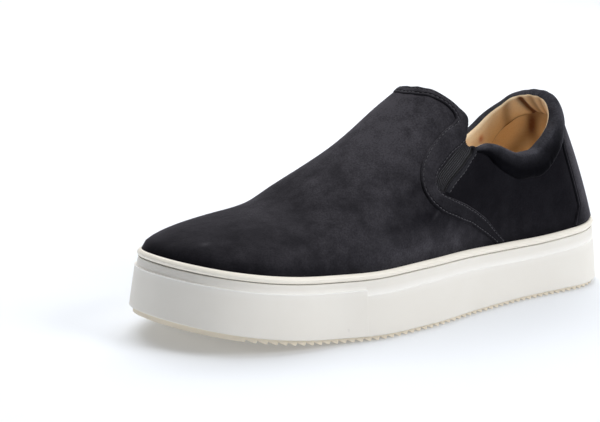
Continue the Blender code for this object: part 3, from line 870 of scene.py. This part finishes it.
def make_cupsole():
    """Cup: underside over the outsole, side wall with its step line, rim, pocket and floor."""
    around = sole_stations()
    share = side_share(around)[1]
    front = bumper_front(share)
    step = STEP_OUT_BACK + (STEP_OUT - STEP_OUT_BACK) * front
    drop = STEP_DROP_BACK + (STEP_DROP - STEP_DROP_BACK) * front
    recess = SOLE_MARGIN - OUTSOLE_INSET + GAP
    foot = bead_height(around) + GAP / 2
    rings = subdivided(rounded(around, (
        (recess, tread_height(OUTSOLE_THICK + GAP), 0, 0),
        (recess, tread_height(TREAD), 0.0003, 3),
        (SOLE_MARGIN, tread_height(TREAD), 0.0006, 5),
        (step, seam_height(drop + 0.0006), 0.0003, 3),
        (step + 0.0002, seam_height(drop - 0.0001), 0.0003, 6),
        (SHELF_OUT + 0.0003 * (1 - front), seam_height(drop + 0.0002), 0.0002, 3),
        (RIM_OUT + 0.0002, seam_height(foot), 0.0006, 6),
        (0.0006, seam_height(foot + 0.0006), 0.0002, 3),
        (GAP, seam_height(foot + 0.0002), 0, 0),
        (GAP, floor_height(0.0), 0, 0),
    )), SIDE_STEP)
    count = len(around)
    faces = quads(len(rings), count).tolist() + ladder(0, count) + ladder((len(rings) - 1) * count, count)
    piece = add_mesh("cup_sole", np.concatenate(rings), faces, [WALL_RUBBER])
    height = np.stack([r[:, 2] for r in rings])
    below = sole_top(feather(around)[:, 1]) - height
    inside = (below < drop + 0.0002) & (below > foot + 0.0003)
    mark(piece, "grain", inside * front * ease(0.80, 0.93, share))
    # Painted highlight along the step edge of the side wall, above the tread
    mark(piece, "edge", bell(below - drop, 0.00065) * (height > TREAD + 0.002))
    return piece


def ladder(base, count):
    """Cap of a loop by rungs between its two sides."""
    faces = []
    for i in range(count // 2):
        corners = (i, i + 1, (count - i - 1) % count, (count - i) % count)
        faces.append(tuple(dict.fromkeys(base + corner for corner in corners)))
    return faces


def make_bead():
    """Round bead over the seam between upper and sole."""
    around = sole_stations()
    tall = bead_height(around)
    rings = rounded(around, (
        (0.0, seam_height(tall), 0, 0),
        (0.0012, seam_height(tall + 0.0002), 0.0009, 5),
        (STRIP_WIDE + 0.0005, seam_height(tall * 0.64), 0.0016, 8),
        (STRIP_WIDE + 0.0003, seam_height(tall * 0.38), 0.0014, 8),
        (0.0008, seam_height(0.0001), 0.0009, 6),
        (-0.0004, seam_height(0.0005), 0, 0),
    ))
    return add_mesh("seam_bead", np.concatenate(rings), quads(len(rings), len(around), True), [STRIP_RUBBER])


# Pieces of the upper

# Steps from heel to toe; share of the wall's height where its round top begins; how far the roll laps it
SHELL_STEPS = 360
EDGE_FROM = 0.994
ROLL_LAP = 0.0022

# The roll's seam rises towards its front end: share round, share of the depth left
COLLAR_FRONT = ((0.290, 1.0), (0.320, 0.95), (0.345, 0.80), (0.365, 0.58), (0.382, 0.36), (0.404, 0.24),
                (0.420, 1.0))


def collar_shape(around):
    """Depth of the collar seam, fullness of the padding and thickness of the edge."""
    share = side_share(around)[1]
    full = column(COLLAR, 2, share)
    thick = TONGUE_THICK + (COLLAR_THICK - TONGUE_THICK) * full
    return COLLAR_DEPTH * column(COLLAR, 1, share) * straight(COLLAR_FRONT, share), full, thick


def shell_depth(around):
    """How far the wall's top lies under the edge of the opening: only under the padding."""
    depth = np.clip(collar_shape(around)[0] - ROLL_LAP, 0, None)
    return depth * (1 - ease(0.372, 0.398, side_share(around)[1]))


def make_shell():
    """Wall of the upper: nubuck outside, a round top edge, lining inside."""
    around = both_sides(np.linspace(0, 1, SHELL_STEPS + 1))
    length = rail_length(around)
    top = 1 - shell_depth(around) / length
    thick = WALL + (TONGUE_THICK - WALL) * ease(0.40, 0.44, side_share(around)[1])
    rows = [ring(around, 0.0, floor_height(GAP))]
    for share in np.linspace(0, 1, 46)[:-1]:
        rows.append(skin(around, top * share * EDGE_FROM))
    for turn in np.linspace(0, math.pi, 9):
        down = (1 - math.sin(turn)) * thick / 2
        rows.append(skin(around, top - down / length, (math.cos(turn) - 1) * thick / 2))
    lining_from = len(rows) - 3
    for share in np.linspace(1, 0, 30)[1:]:
        inward = thick + (WALL - thick) * (1 - share)
        rows.append(skin(around, top * share * EDGE_FROM, -inward, True))
    rows.append(ring(around, -WALL, floor_height(GAP)))
    slots = np.zeros((len(rows), len(around)), int)
    slots[lining_from:] = 1
    faces = quads(len(rows), len(around), True)
    return add_mesh("upper_shell", np.concatenate(rows), faces, [NUBUCK, LINING], slots.ravel())


def table_rows(table, count, side):
    """Rows of an edge table by even steps along it, on the lateral (1) or medial (-1) side."""
    values = np.array(table) * (0.5, 1, 0.5, 1)
    place = walked(middle_of(values))
    evened = np.column_stack([place / place[-1], values])
    rows = np.column_stack([column(evened, i, np.linspace(0, 1, count)) for i in range(1, 5)])
    if side < 0:
        rows[:, ::2] = 1 - rows[:, ::2]
    return rows


def between(rows, shares):
    """Share round and share up between the two edges."""
    around = rows[:, None, 0] + (rows[:, None, 2] - rows[:, None, 0]) * shares
    up = rows[:, None, 1] + (rows[:, None, 3] - rows[:, None, 1]) * shares
    return around, up


def ribbon(name, rows, top, low, material, plain=False):
    """Closed strip between two edges; top gives (share across, height) for each row."""
    shares, heights = top
    over = skin(*between(rows, shares), heights, plain)
    under = skin(*between(rows, shares[::-1]), low, plain)
    loops = np.concatenate([over, under], axis=1)
    return add_mesh(name, loops.reshape(-1, 3), capped(*loops.shape[:2]), [material])


def edges_of(rows):
    """Points of both edges of a strip."""
    return look(GRID, rows[:, 0], rows[:, 1]), look(GRID, rows[:, 2], rows[:, 3])


def middle_of(rows):
    return sum(edges_of(rows)) / 2


def width_of(rows):
    return np.linalg.norm(np.subtract(*edges_of(rows)), axis=1)


# Stitch lines: distance from a strip's edge, and the groove they pull into the leather
STITCH_IN = 0.0014
FOLD_STITCH = 0.0029
GROOVE_DEEP = 0.00030
GROOVE_HALF = 0.00035
FOLD_GROOVE_DEEP = 0.00022

# Roundness of the border's edge and its crown, the roundness of the heel strip's edge
BAND_EDGE = 0.0013
BAND_CROWN = 0.00012
HEEL_STRIP_EDGE = 0.0008

# The quarter's turned edge: width, height and roundness; height of the elastic's ribs
FOLD_WIDE = 0.0040
FOLD_HIGH = 0.00075
FOLD_EDGE = 0.0007
RIB_HIGH = 0.00026


def across_strip(count, first):
    """Shares across a strip, close together at its edges."""
    return np.concatenate([[0.0], 0.5 - 0.5 * np.cos(np.linspace(first, math.pi - first, count)), [1.0]])


def band_height(rows):
    """The border lies flatter round the tongue than down the sides."""
    tongue = ease(0.55, 0.80, side_share(rows[:, 0])[1])
    return (OVERLAY_GAP + BAND_THICK - 0.0004) * (1 - 0.5 * tongue)


def make_band():
    """Border of the vamp with a groove along each edge, and its rows."""
    lateral, medial = (table_rows(BAND, 240, side) for side in (1, -1))
    rows = np.concatenate([lateral[::-1], medial[1:]])
    shares = across_strip(44, 0.06)
    wide = width_of(rows)[:, None]
    near, far = shares * wide, (1 - shares) * wide
    heights = band_height(rows)[:, None] * round_edge(np.minimum(near, far), BAND_EDGE)
    heights = heights + BAND_CROWN * np.sin(math.pi * shares)
    for away in (near, far):
        heights = heights - GROOVE_DEEP * bell(away - STITCH_IN, GROOVE_HALF)
    return ribbon("vamp_border", rows, (shares, heights), -0.0003, NUBUCK_BAND), rows


def make_gore(name, side):
    """Ribbed elastic, recessed in its opening and starting a little under the edge of the shoe."""
    rows = table_rows(GORE, 120, side)
    start = GORE_DROP / walked(middle_of(rows))[-1]
    place = np.linspace(0, 1, len(rows))
    rows = np.column_stack([np.interp(np.linspace(start, 1, len(rows)), place, row) for row in rows.T])
    shares = np.linspace(-0.02, 1.02, 133)
    heights = RIB_HIGH * np.cos(2 * math.pi * GORE_RIBS * shares) - GORE_RECESS - 0.0005
    heights = np.broadcast_to(heights, (len(rows), len(shares)))
    piece = ribbon(name, rows, (shares, heights), -GORE_RECESS - GORE_THICK - 0.0004, ELASTIC, True)
    mark(piece, "along", np.repeat(place, 2 * len(shares)))
    mark(piece, "across", np.tile(np.concatenate([shares, shares[::-1]]), len(rows)))
    return piece


def make_fold(name, side):
    """Turned edge of the quarter behind the gore, higher at the gore and stitched down; and its rows."""
    rows = table_rows(GORE, 160, side)
    reach = FOLD_WIDE / width_of(rows)[:, None]
    edge = np.column_stack([rows[:, 2:], rows[:, 2:] + (rows[:, 2:] - rows[:, :2]) * reach])[2:-2]
    shares = np.linspace(0, 1, 40)
    near = shares * width_of(edge)[:, None]
    heights = FOLD_HIGH * round_edge(near, FOLD_EDGE) * (1 - ease(0.0020, 0.0039, near)) - 0.0001
    heights = heights - FOLD_GROOVE_DEEP * bell(near - FOLD_STITCH, GROOVE_HALF)
    return ribbon(name, edge, (shares, heights), -0.0006, NUBUCK_EDGE_WORN_AND_LIT), edge


def gore_cutter(side):
    """Solid that cuts a gore's opening through the wall and its top edge."""
    reach = 0.004
    around, up = between(table_rows(GORE, 60, side), np.linspace(0, 1, 9))
    over = skin(around, up, reach, True)
    under = skin(around[:, ::-1], up[:, ::-1], -reach - TONGUE_THICK / 2, True)
    loops = np.concatenate([over, under], axis=1)
    loops[0] += unit(loops[0] - loops[1]) * reach
    return add_mesh("cutter", loops.reshape(-1, 3), capped(*loops.shape[:2]), [NUBUCK])


def cut(piece, cutter):
    """Takes the cutter's solid out of a piece."""
    change = piece.modifiers.new("cut", "BOOLEAN")
    change.operation = "DIFFERENCE"
    change.solver = "EXACT"
    change.object = cutter
    bpy.context.view_layer.update()
    graph = bpy.context.evaluated_depsgraph_get()
    mesh = bpy.data.meshes.new_from_object(piece.evaluated_get(graph))
    piece.modifiers.clear()
    old = piece.data
    piece.data = mesh
    bpy.data.meshes.remove(old)
    bpy.data.objects.remove(cutter, do_unlink=True)
    mesh.set_sharp_from_angle(angle=math.radians(50))


# The roll ends in front at this share of the way from heel to toe; its puckers are this far apart
COLLAR_END = 0.404
PUCKER_LONG = 0.0046

# Section of the roll: share of the padding out, share of the depth down and, outside, of the puckers
ROLL_OUTSIDE = ((0.62, 0.90, 0.9), (0.95, 0.68, 0.4), (1.04, 0.45, 0), (0.98, 0.24, 0), (0.70, 0.07, 0))
ROLL_INSIDE = ((0.80, 0.05), (1.04, 0.20), (1.10, 0.42), (1.00, 0.68), (0.72, 0.90))

# Creases of the collar's lining: side at the edge and at the seam, half width, depth in metres
LINING_CREASES = (
    (-0.040, -0.014, 0.0085, 0.0015),
    (-0.010, 0.004, 0.0090, 0.0007),
    (0.020, 0.024, 0.0080, 0.0006),
    (-0.073, -0.085, 0.0120, 0.0006),
)

# The lining's seam, as a share of the outer seam's depth
LINING_REACH = 1.34

# Small dent, coloured darker and redder over it: side, way down, half width and depth in metres
DIMPLE = (-0.166, 0.0082, 0.0021, 0.0007)


def make_pucker(side, full, metres):
    """Fine puckers of the roll's outer seam, deeper beside the heel, uneven by a fixed seed."""
    rng = np.random.default_rng(7)
    wobble = np.convolve(rng.normal(size=len(metres) + 24), np.hanning(25) / 4, "valid")
    pucker = np.sin(2 * math.pi * metres / PUCKER_LONG + 1.5 * wobble) * np.clip(0.5 + 0.5 * wobble, 0, 1)
    return pucker * full * (0.25 + 0.75 * bell(np.abs(side) - 0.21, 0.05))


def roll_control(depth, full, thick, ends, pucker):
    """Control points of the roll's section, as distance out and way down."""
    swell = PAD * full
    inner = np.maximum(WALL, thick - swell)
    rows = [(-0.0004, depth)]
    for out, down, crimp in ROLL_OUTSIDE:
        rows.append((swell * out * ends + 0.0003 + 0.00024 * crimp * pucker, depth * down))
    rows.append(((swell * ends - inner) / 2, -0.0001))
    for out, down in ROLL_INSIDE:
        amount = -WALL - (inner - WALL + 0.0013 * full) * out + WALL * (1 - min(out, 1.0)) * 0.4
        reach = down * (1 + (LINING_REACH - 1) * down)
        rows.append((amount - 0.00016 * pucker * (down > 0.5), depth * reach))
    rows.append((0.0003 - WALL, depth * LINING_REACH))
    return np.stack([np.stack(np.broadcast_arrays(out, down, depth)[:2], -1) for out, down in rows], 1)


def crease_lining(side, metres, down, out, low, inside):
    """Moves the lining out at its creases and its dent; returns its marks for painted shade and for the
    dent's darker colour.
    """
    # Painted shade along the lining's seam and, below, in its creases
    shade = bell(down - LINING_REACH, 0.13) * inside
    for top, bottom, half, deep in LINING_CREASES:
        centre = top + (bottom - top) * down / LINING_REACH
        near = deep * bell(side[:, None] - centre, half) * inside * ease(1.45, 1.15, down)
        out += near
        shade += near / 0.0012
    at, drop, half, deep = DIMPLE
    run = metres - np.interp(at, side, metres)
    dent_tint = bell(run[:, None], half) * bell(low - drop, half) * inside
    out += deep * dent_tint
    return np.clip(shade, 0, 1), dent_tint


def make_collar():
    """Padded roll over the edge of the opening, nubuck outside and lining inside."""
    side = np.linspace(-COLLAR_END, COLLAR_END, 561)
    around = np.mod(side / 2, 1.0)
    depth, full, thick = collar_shape(around)
    length = rail_length(around)
    metres = walked(look(GRID, around, 1 - depth / length))
    tip = np.clip((COLLAR_END - np.abs(side)) / 0.026, 0, 1)
    ends = np.maximum(np.sqrt(1 - (1 - tip)**2), 0.04)
    control = roll_control(depth, full, thick, ends, make_pucker(side, full, metres))
    # The two leathers meet on top of the edge at the far side, inside it round the heel
    edge = (6.62 + 0.30 * ease(-0.08, 0.02, side) - 0.45 * ease(0.20, 0.34, side))[:, None]
    outer = np.linspace(0, 1, 27)[:-1] * edge
    inner = edge + np.linspace(0, 1, 30) * (control.shape[1] - 1 - edge)
    section = spline(control, np.hstack([outer, inner]))
    out, low = section[..., 0], section[..., 1]
    down = low / depth[:, None]
    inside = ease(0.0, 0.2, down) * (np.arange(section.shape[1]) > outer.shape[1])
    shade, dent_tint = crease_lining(side, metres, down, out, low, inside)
    out = np.column_stack([out, np.full(len(side), -WALL / 2)])
    low = np.column_stack([low, depth + 0.0004])
    up = 1 - low / length[:, None]
    wide = np.broadcast_to(around[:, None], up.shape)
    rise = unit(look(GRID, wide, 1.0) - look(GRID, wide, 0.98))
    points = skin(wide, up, out, True) + rise * np.clip(-low, 0, None)[..., None]
    slots = np.zeros((len(side) - 1, points.shape[1]), int)
    slots[:, outer.shape[1]:-1] = 1
    piece = add_mesh("padded_collar", points.reshape(-1, 3), capped(*points.shape[:2]),
                     [NUBUCK_COLLAR_SHADED, LINING], [*slots.ravel(), 0, 0])
    for name, values in (("shade", shade), ("dent_tint", dent_tint)):
        mark(piece, name, np.column_stack([values, np.zeros(len(side))]))
    return piece


def spline(control, t):
    """Smooth curves through control points given as (curve, point, value)."""
    rows = np.arange(control.shape[0])[:, None]
    last_one = control.shape[1] - 1
    i = np.minimum(t.astype(int), last_one - 1)
    f = (t - i)[..., None]
    p1 = control[rows, i]
    p2 = control[rows, i + 1]
    p0 = control[rows, np.maximum(i - 1, 0)]
    p3 = control[rows, np.minimum(i + 2, last_one)]
    return 0.5 * (2 * p1 + (p2 - p0) * f + (2 * p0 - 5 * p1 + 4 * p2 - p3) * f**2
                  + (3 * p1 - p0 - 3 * p2 + p3) * f**3)


def make_heel_strip():
    """Strip over the back seam, grooved along both edges."""
    levels = np.linspace(HEEL_STRIP[0][0], HEEL_STRIP[-1][0] + 0.02, 90)
    reach = column(HEEL_STRIP, 1, levels) / 2
    rows = np.column_stack([reach, levels, -reach, levels])
    shares = across_strip(90, 0.04)
    arc = np.minimum(shares, 1 - shares) * (width_of(rows)[:, None] * 1.25)
    heights = (OVERLAY_GAP + HEEL_STRIP_THICK) * round_edge(arc, HEEL_STRIP_EDGE)
    heights = heights - GROOVE_DEEP * bell(arc - STITCH_IN, GROOVE_HALF)
    return ribbon("heel_cover", rows, (shares, heights), -0.0003, NUBUCK_BAND)


# A stitch: distance between stitches, length, width, height, and the sides of its rounding
STITCH_PITCH = 0.0026
STITCH_LONG = 0.0018
STITCH_WIDE = 0.00034
STITCH_HIGH = 0.00026
STITCH_SIDES = 6

# Rings along a stitch: share of its half length, swell, and share of its height lifted
STITCH_RINGS = ((-1.0, 0.15, -0.9), (-0.8, 0.75, -0.2), (-0.35, 1.0, 0.15),
                (0.35, 1.0, 0.15), (0.8, 0.75, -0.2), (1.0, 0.15, -0.9))


def make_stitches(name, paths):
    """Short rounded stitches along paths given as (points, normals)."""
    turn = 2 * math.pi * np.arange(STITCH_SIDES) / STITCH_SIDES
    step, swell, lift = np.array(STITCH_RINGS).T[:, :, None]
    wide = (swell * np.cos(turn) * STITCH_WIDE / 2)[..., None]
    high = ((lift + swell * np.sin(turn)) * STITCH_HIGH)[..., None]
    long = (step * STITCH_LONG / 2)[..., None]
    points = []
    for line, normal in paths:
        length = walked(line)
        count = int(length[-1] / STITCH_PITCH)
        place = (np.arange(count) + 0.5) * length[-1] / count
        at, ahead, behind, up = (
            np.column_stack([np.interp(place + shift, length, values) for values in source.T])
            for source, shift in ((line, 0), (line, 0.0005), (line, -0.0005), (normal, 0)))
        along = unit(ahead - behind)
        up = unit(up - along * (up * along).sum(-1, keepdims=True))
        at, along, up = (values[:, None, None] for values in (at, along, up))
        points.append((at + along * long + np.cross(along, up) * wide + up * high).reshape(-1, 3))
    points = np.concatenate(points)
    shape = (len(STITCH_RINGS), STITCH_SIDES)
    faces = [[first + corner for corner in face]
             for first in range(0, len(points), math.prod(shape)) for face in capped(*shape)]
    return add_mesh(name, points, faces, [THREAD])


def edge_path(rows, first, distance, height):
    """Path beside one edge of a strip, with normals."""
    share = distance / width_of(rows)
    around, up = (a + (b - a) * (share if first else 1 - share) for a, b in
                  ((rows[:, 0], rows[:, 2]), (rows[:, 1], rows[:, 3])))
    return skin(around, up, height), look(NORMALS, around, up)


# Painted light: nap painted paler where lit, by share of the shoe's length, from toe to heel
PAINTED_LIGHT = ((-0.50, 0.04), (-0.36, 0.14), (-0.25, 0.40), (-0.10, 0.72), (0.00, 1.0), (0.05, 1.3), (0.10, 1.0),
         (0.20, 0.35), (0.50, 0.45))

# The same painted light for the nap just over the sole
LOW_PAINTED_LIGHT = ((-0.50, 0.0), (-0.36, 0.20), (-0.25, 0.45), (-0.08, 0.80), (0.02, 1.30), (0.09, 0.50),
             (0.16, 0.15), (0.50, 0.0))

# Painted highlights and shade of soft creases in the nap, as for the scuffs below; minus is darker
PAINTED_LIGHT_SPOTS = (
    (0.5005, 0.244, 0.0, 0.0110, 0.0050, 0.35),
    (0.4731, 0.520, 12.0, 0.0180, 0.0050, 0.50),
    (0.4034, 0.420, -15.0, 0.0190, 0.0055, -0.50),
    (0.4532, 0.381, -10.0, 0.0120, 0.0045, -0.35),
    (0.4408, 0.475, 20.0, 0.0100, 0.0040, 0.25),
    (0.4134, 0.200, 0.0, 0.0130, 0.0060, -0.25),
    (0.3700, 0.300, 60.0, 0.0140, 0.0050, 0.22),
    (0.2765, 0.181, 30.0, 0.0080, 0.0040, -0.20),
    (0.4458, 0.680, 10.0, 0.0140, 0.0060, -0.22),
    (0.3900, 0.820, 25.0, 0.0150, 0.0060, 0.25),
)

# Small scuffs: share round, share up, turn in degrees, half run, half width, strength
SCUFFS = (
    (0.2645, 0.060, 20.0, 0.0022, 0.0010, 0.45),
    (0.4682, 0.085, 0.0, 0.0026, 0.0008, 0.60),
    (0.2650, 0.290, 70.0, 0.0040, 0.0007, 0.35),
    (0.3200, 0.150, 35.0, 0.0060, 0.0030, 0.10),
    (0.7000, 0.300, 25.0, 0.0050, 0.0010, 0.30),
)


def mark_painted_light(piece, strength, shares, least=0.01):
    """Painted light: nap painted paler where the leather faces up, more towards the instep and behind the
    heel.
    """
    points, normals = points_of(piece)
    station = points[:, 1] / LENGTH
    facing = ease(*shares, normals[:, 2])
    back = ease(0.10, 0.90, normals[:, 1]) * ease(0.24, 0.38, station)
    low = straight(LOW_PAINTED_LIGHT, station) * bell(points[:, 2] - sole_top(points[:, 1]), 0.013)
    amount = straight(PAINTED_LIGHT, station) * facing + back + low + least
    amount *= 1 + sum(extra * spot(points, *place) for *place, extra in PAINTED_LIGHT_SPOTS)
    mark(piece, "painted_light", np.clip(strength * amount, 0, 1))


def mark_painted_corner_shade(piece):
    """Painted shade: nap painted darker in the corner over the bead."""
    points = points_of(piece)[0]
    mark(piece, "foot", 1 - ease(0.0005, 0.0060, points[:, 2] - sole_top(points[:, 1])))


def spot(points, around, up, turn, run, wide):
    """1 at a place on the upper, fading over half a run and half a width in metres."""
    centre, normal, line, across = place_on(around, up, turn)
    offset = points - centre
    return bell(offset @ line, run) * bell(offset @ across, wide) * bell(offset @ normal, 0.004)


def mark_scuffs(piece):
    points = points_of(piece)[0]
    amount = sum(strength * spot(points, *place) for *place, strength in SCUFFS)
    mark(piece, "scuff", np.clip(amount, 0, 1))


def mark_lining(piece):
    """Painted shade of folds low in the heel lining, the first one slanted."""
    points = points_of(piece)[0]
    place = np.arctan2(points[:, 0], points[:, 1] - 0.055)
    slanted = -0.16 - 11.4 * (0.088 - points[:, 2])
    fold = 0.62 * bell(place - slanted, 0.080) + 0.42 * bell(place + 0.17, 0.055)
    fold += 0.40 * bell(place - 0.10, 0.18)
    mark(piece, "shade", np.clip(fold, 0, 1) * ease(0.050, 0.085, points[:, 1]))


shell = make_shell()
for side in (1, -1):
    cut(shell, gore_cutter(side))
mark_scuffs(shell)
# Painted light: nubuck painted paler where it faces up, towards the instep and behind the heel
mark_painted_light(shell, 0.93, (0.15, 0.80))
# Painted shade in the corner over the bead
mark_painted_corner_shade(shell)
mark_lining(shell)
collar = make_collar()
band, band_rows = make_band()
# Painted light on the border, and a painted highlight on the top of the collar's roll
mark_painted_light(band, 0.62, (-0.05, 0.75), 0.08)
mark_painted_light(collar, 1.8, (-0.07, 0.62), 0.0)
gores = [make_gore("gore_web_lateral", 1), make_gore("gore_web_medial", -1)]
heel_cover = make_heel_strip()
# Painted light on the heel cover
mark_painted_light(heel_cover, 2.1, (0.3, 0.9))
cup_sole = make_cupsole()
bead = make_bead()
folds = [make_fold("quarter_fold_lateral", 1), make_fold("quarter_fold_medial", -1)]
band_stitches = make_stitches("band_stitches", [
    edge_path(band_rows, first, STITCH_IN, band_height(band_rows) - 0.00015) for first in (False, True)])
fold_stitches = make_stitches("fold_stitches", [
    edge_path(rows, True, FOLD_STITCH, 0.00035) for _, rows in folds])

for piece, node in ((shell, "upper"), (collar, "upper"), (band, "vamp_band"), (gores[0], "gore_lateral"),
                    (gores[1], "gore_medial"), (heel_cover, "heel_strip"), (cup_sole, "cupsole"),
                    (bead, "welt_strip")):
    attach(piece, "root")
    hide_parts(node)
for piece in (band_stitches, fold_stitches, folds[0][0], folds[1][0]):
    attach(piece, "root")

for node, material in (("outsole", TREAD_RUBBER), ("insole", LINING)):
    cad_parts[node].material_slots[0].material = material


# Camera, floor and light
AZIMUTH = math.radians(50.90998)
PITCH = math.radians(11.14069)
ROLL = math.radians(2.09499)
CAMERA_AT = Vector((0.5647, -0.5194, 0.1988))
LENS_LONG = 90.006
LEVEL = Vector((math.cos(AZIMUTH), math.sin(AZIMUTH), 0))
AHEAD = Vector((-math.sin(AZIMUTH), math.cos(AZIMUTH), 0))


def make_camera():
    """Camera before the toe on the lateral side, rolled a little."""
    forward = Vector((-math.sin(AZIMUTH) * math.cos(PITCH), math.cos(AZIMUTH) * math.cos(PITCH),
                      -math.sin(PITCH)))
    upright = LEVEL.cross(forward)
    right = LEVEL * math.cos(ROLL) + upright * math.sin(ROLL)
    up = upright * math.cos(ROLL) - LEVEL * math.sin(ROLL)
    lens = bpy.data.cameras.new("camera")
    lens.sensor_width = 36.0
    lens.lens = LENS_LONG
    lens.clip_start = 0.01
    lens.clip_end = 300.0
    camera = placed("camera", lens)
    camera.matrix_world = Matrix.Translation(CAMERA_AT) @ Matrix((right, up, -forward)).transposed().to_4x4()
    bpy.context.scene.camera = camera


make_camera()


def make_floor():
    """Wide pale floor, faintly bright by itself."""
    material, tree, shader = shader_of("floor", (0.66, 0.69, 0.735), 0.9, 0.1)
    tone = noise(tree, 3.0, 2.0, 0.55)
    tree.links.new(mixed(tree, tone, (0.65, 0.68, 0.725), (0.67, 0.70, 0.745)), shader.inputs["Base Color"])
    set_values(shader, Emission_Color=(1.0, 1.0, 1.0, 1.0), Emission_Strength=0.19)
    corners = 60.0 * np.array([(-1, -1, 0), (1, -1, 0), (1, 1, 0), (-1, 1, 0)])
    floor = add_mesh("floor", corners, [(0, 1, 2, 3)], [material])


make_floor()


def area_light(name, at, towards, size, power):
    data = bpy.data.lights.new(name, "AREA")
    data.shape = "RECTANGLE"
    data.size, data.size_y = size
    data.energy = power
    light = placed(name, data)
    light.location = at
    light.rotation_mode = "QUATERNION"
    light.rotation_quaternion = (towards - at).to_track_quat("-Z", "Y")


CENTRE = Vector((0.0, 0.0, 0.05))
area_light("key", CENTRE + LEVEL * 2.3 - AHEAD * 0.9 + Vector((0, 0, 1.6)), CENTRE, (1.4, 1.4), 45.0)
area_light("top", CENTRE + Vector((0, 0, 2.0)) + AHEAD * 0.5 - LEVEL * 0.3, CENTRE, (2.4, 2.4), 46.0)
area_light("backdrop", CENTRE + AHEAD * 3.2 + Vector((0, 0, 2.2)), CENTRE + AHEAD * 3.0, (4.0, 3.0), 90.0)

world = bpy.data.worlds.new("studio")
bpy.context.scene.world = world
world.use_nodes = True
set_values(world.node_tree.nodes["Background"], Color=(1.0, 1.0, 1.0, 1.0), Strength=0.10)
bpy.context.scene.view_settings.view_transform = "Standard"
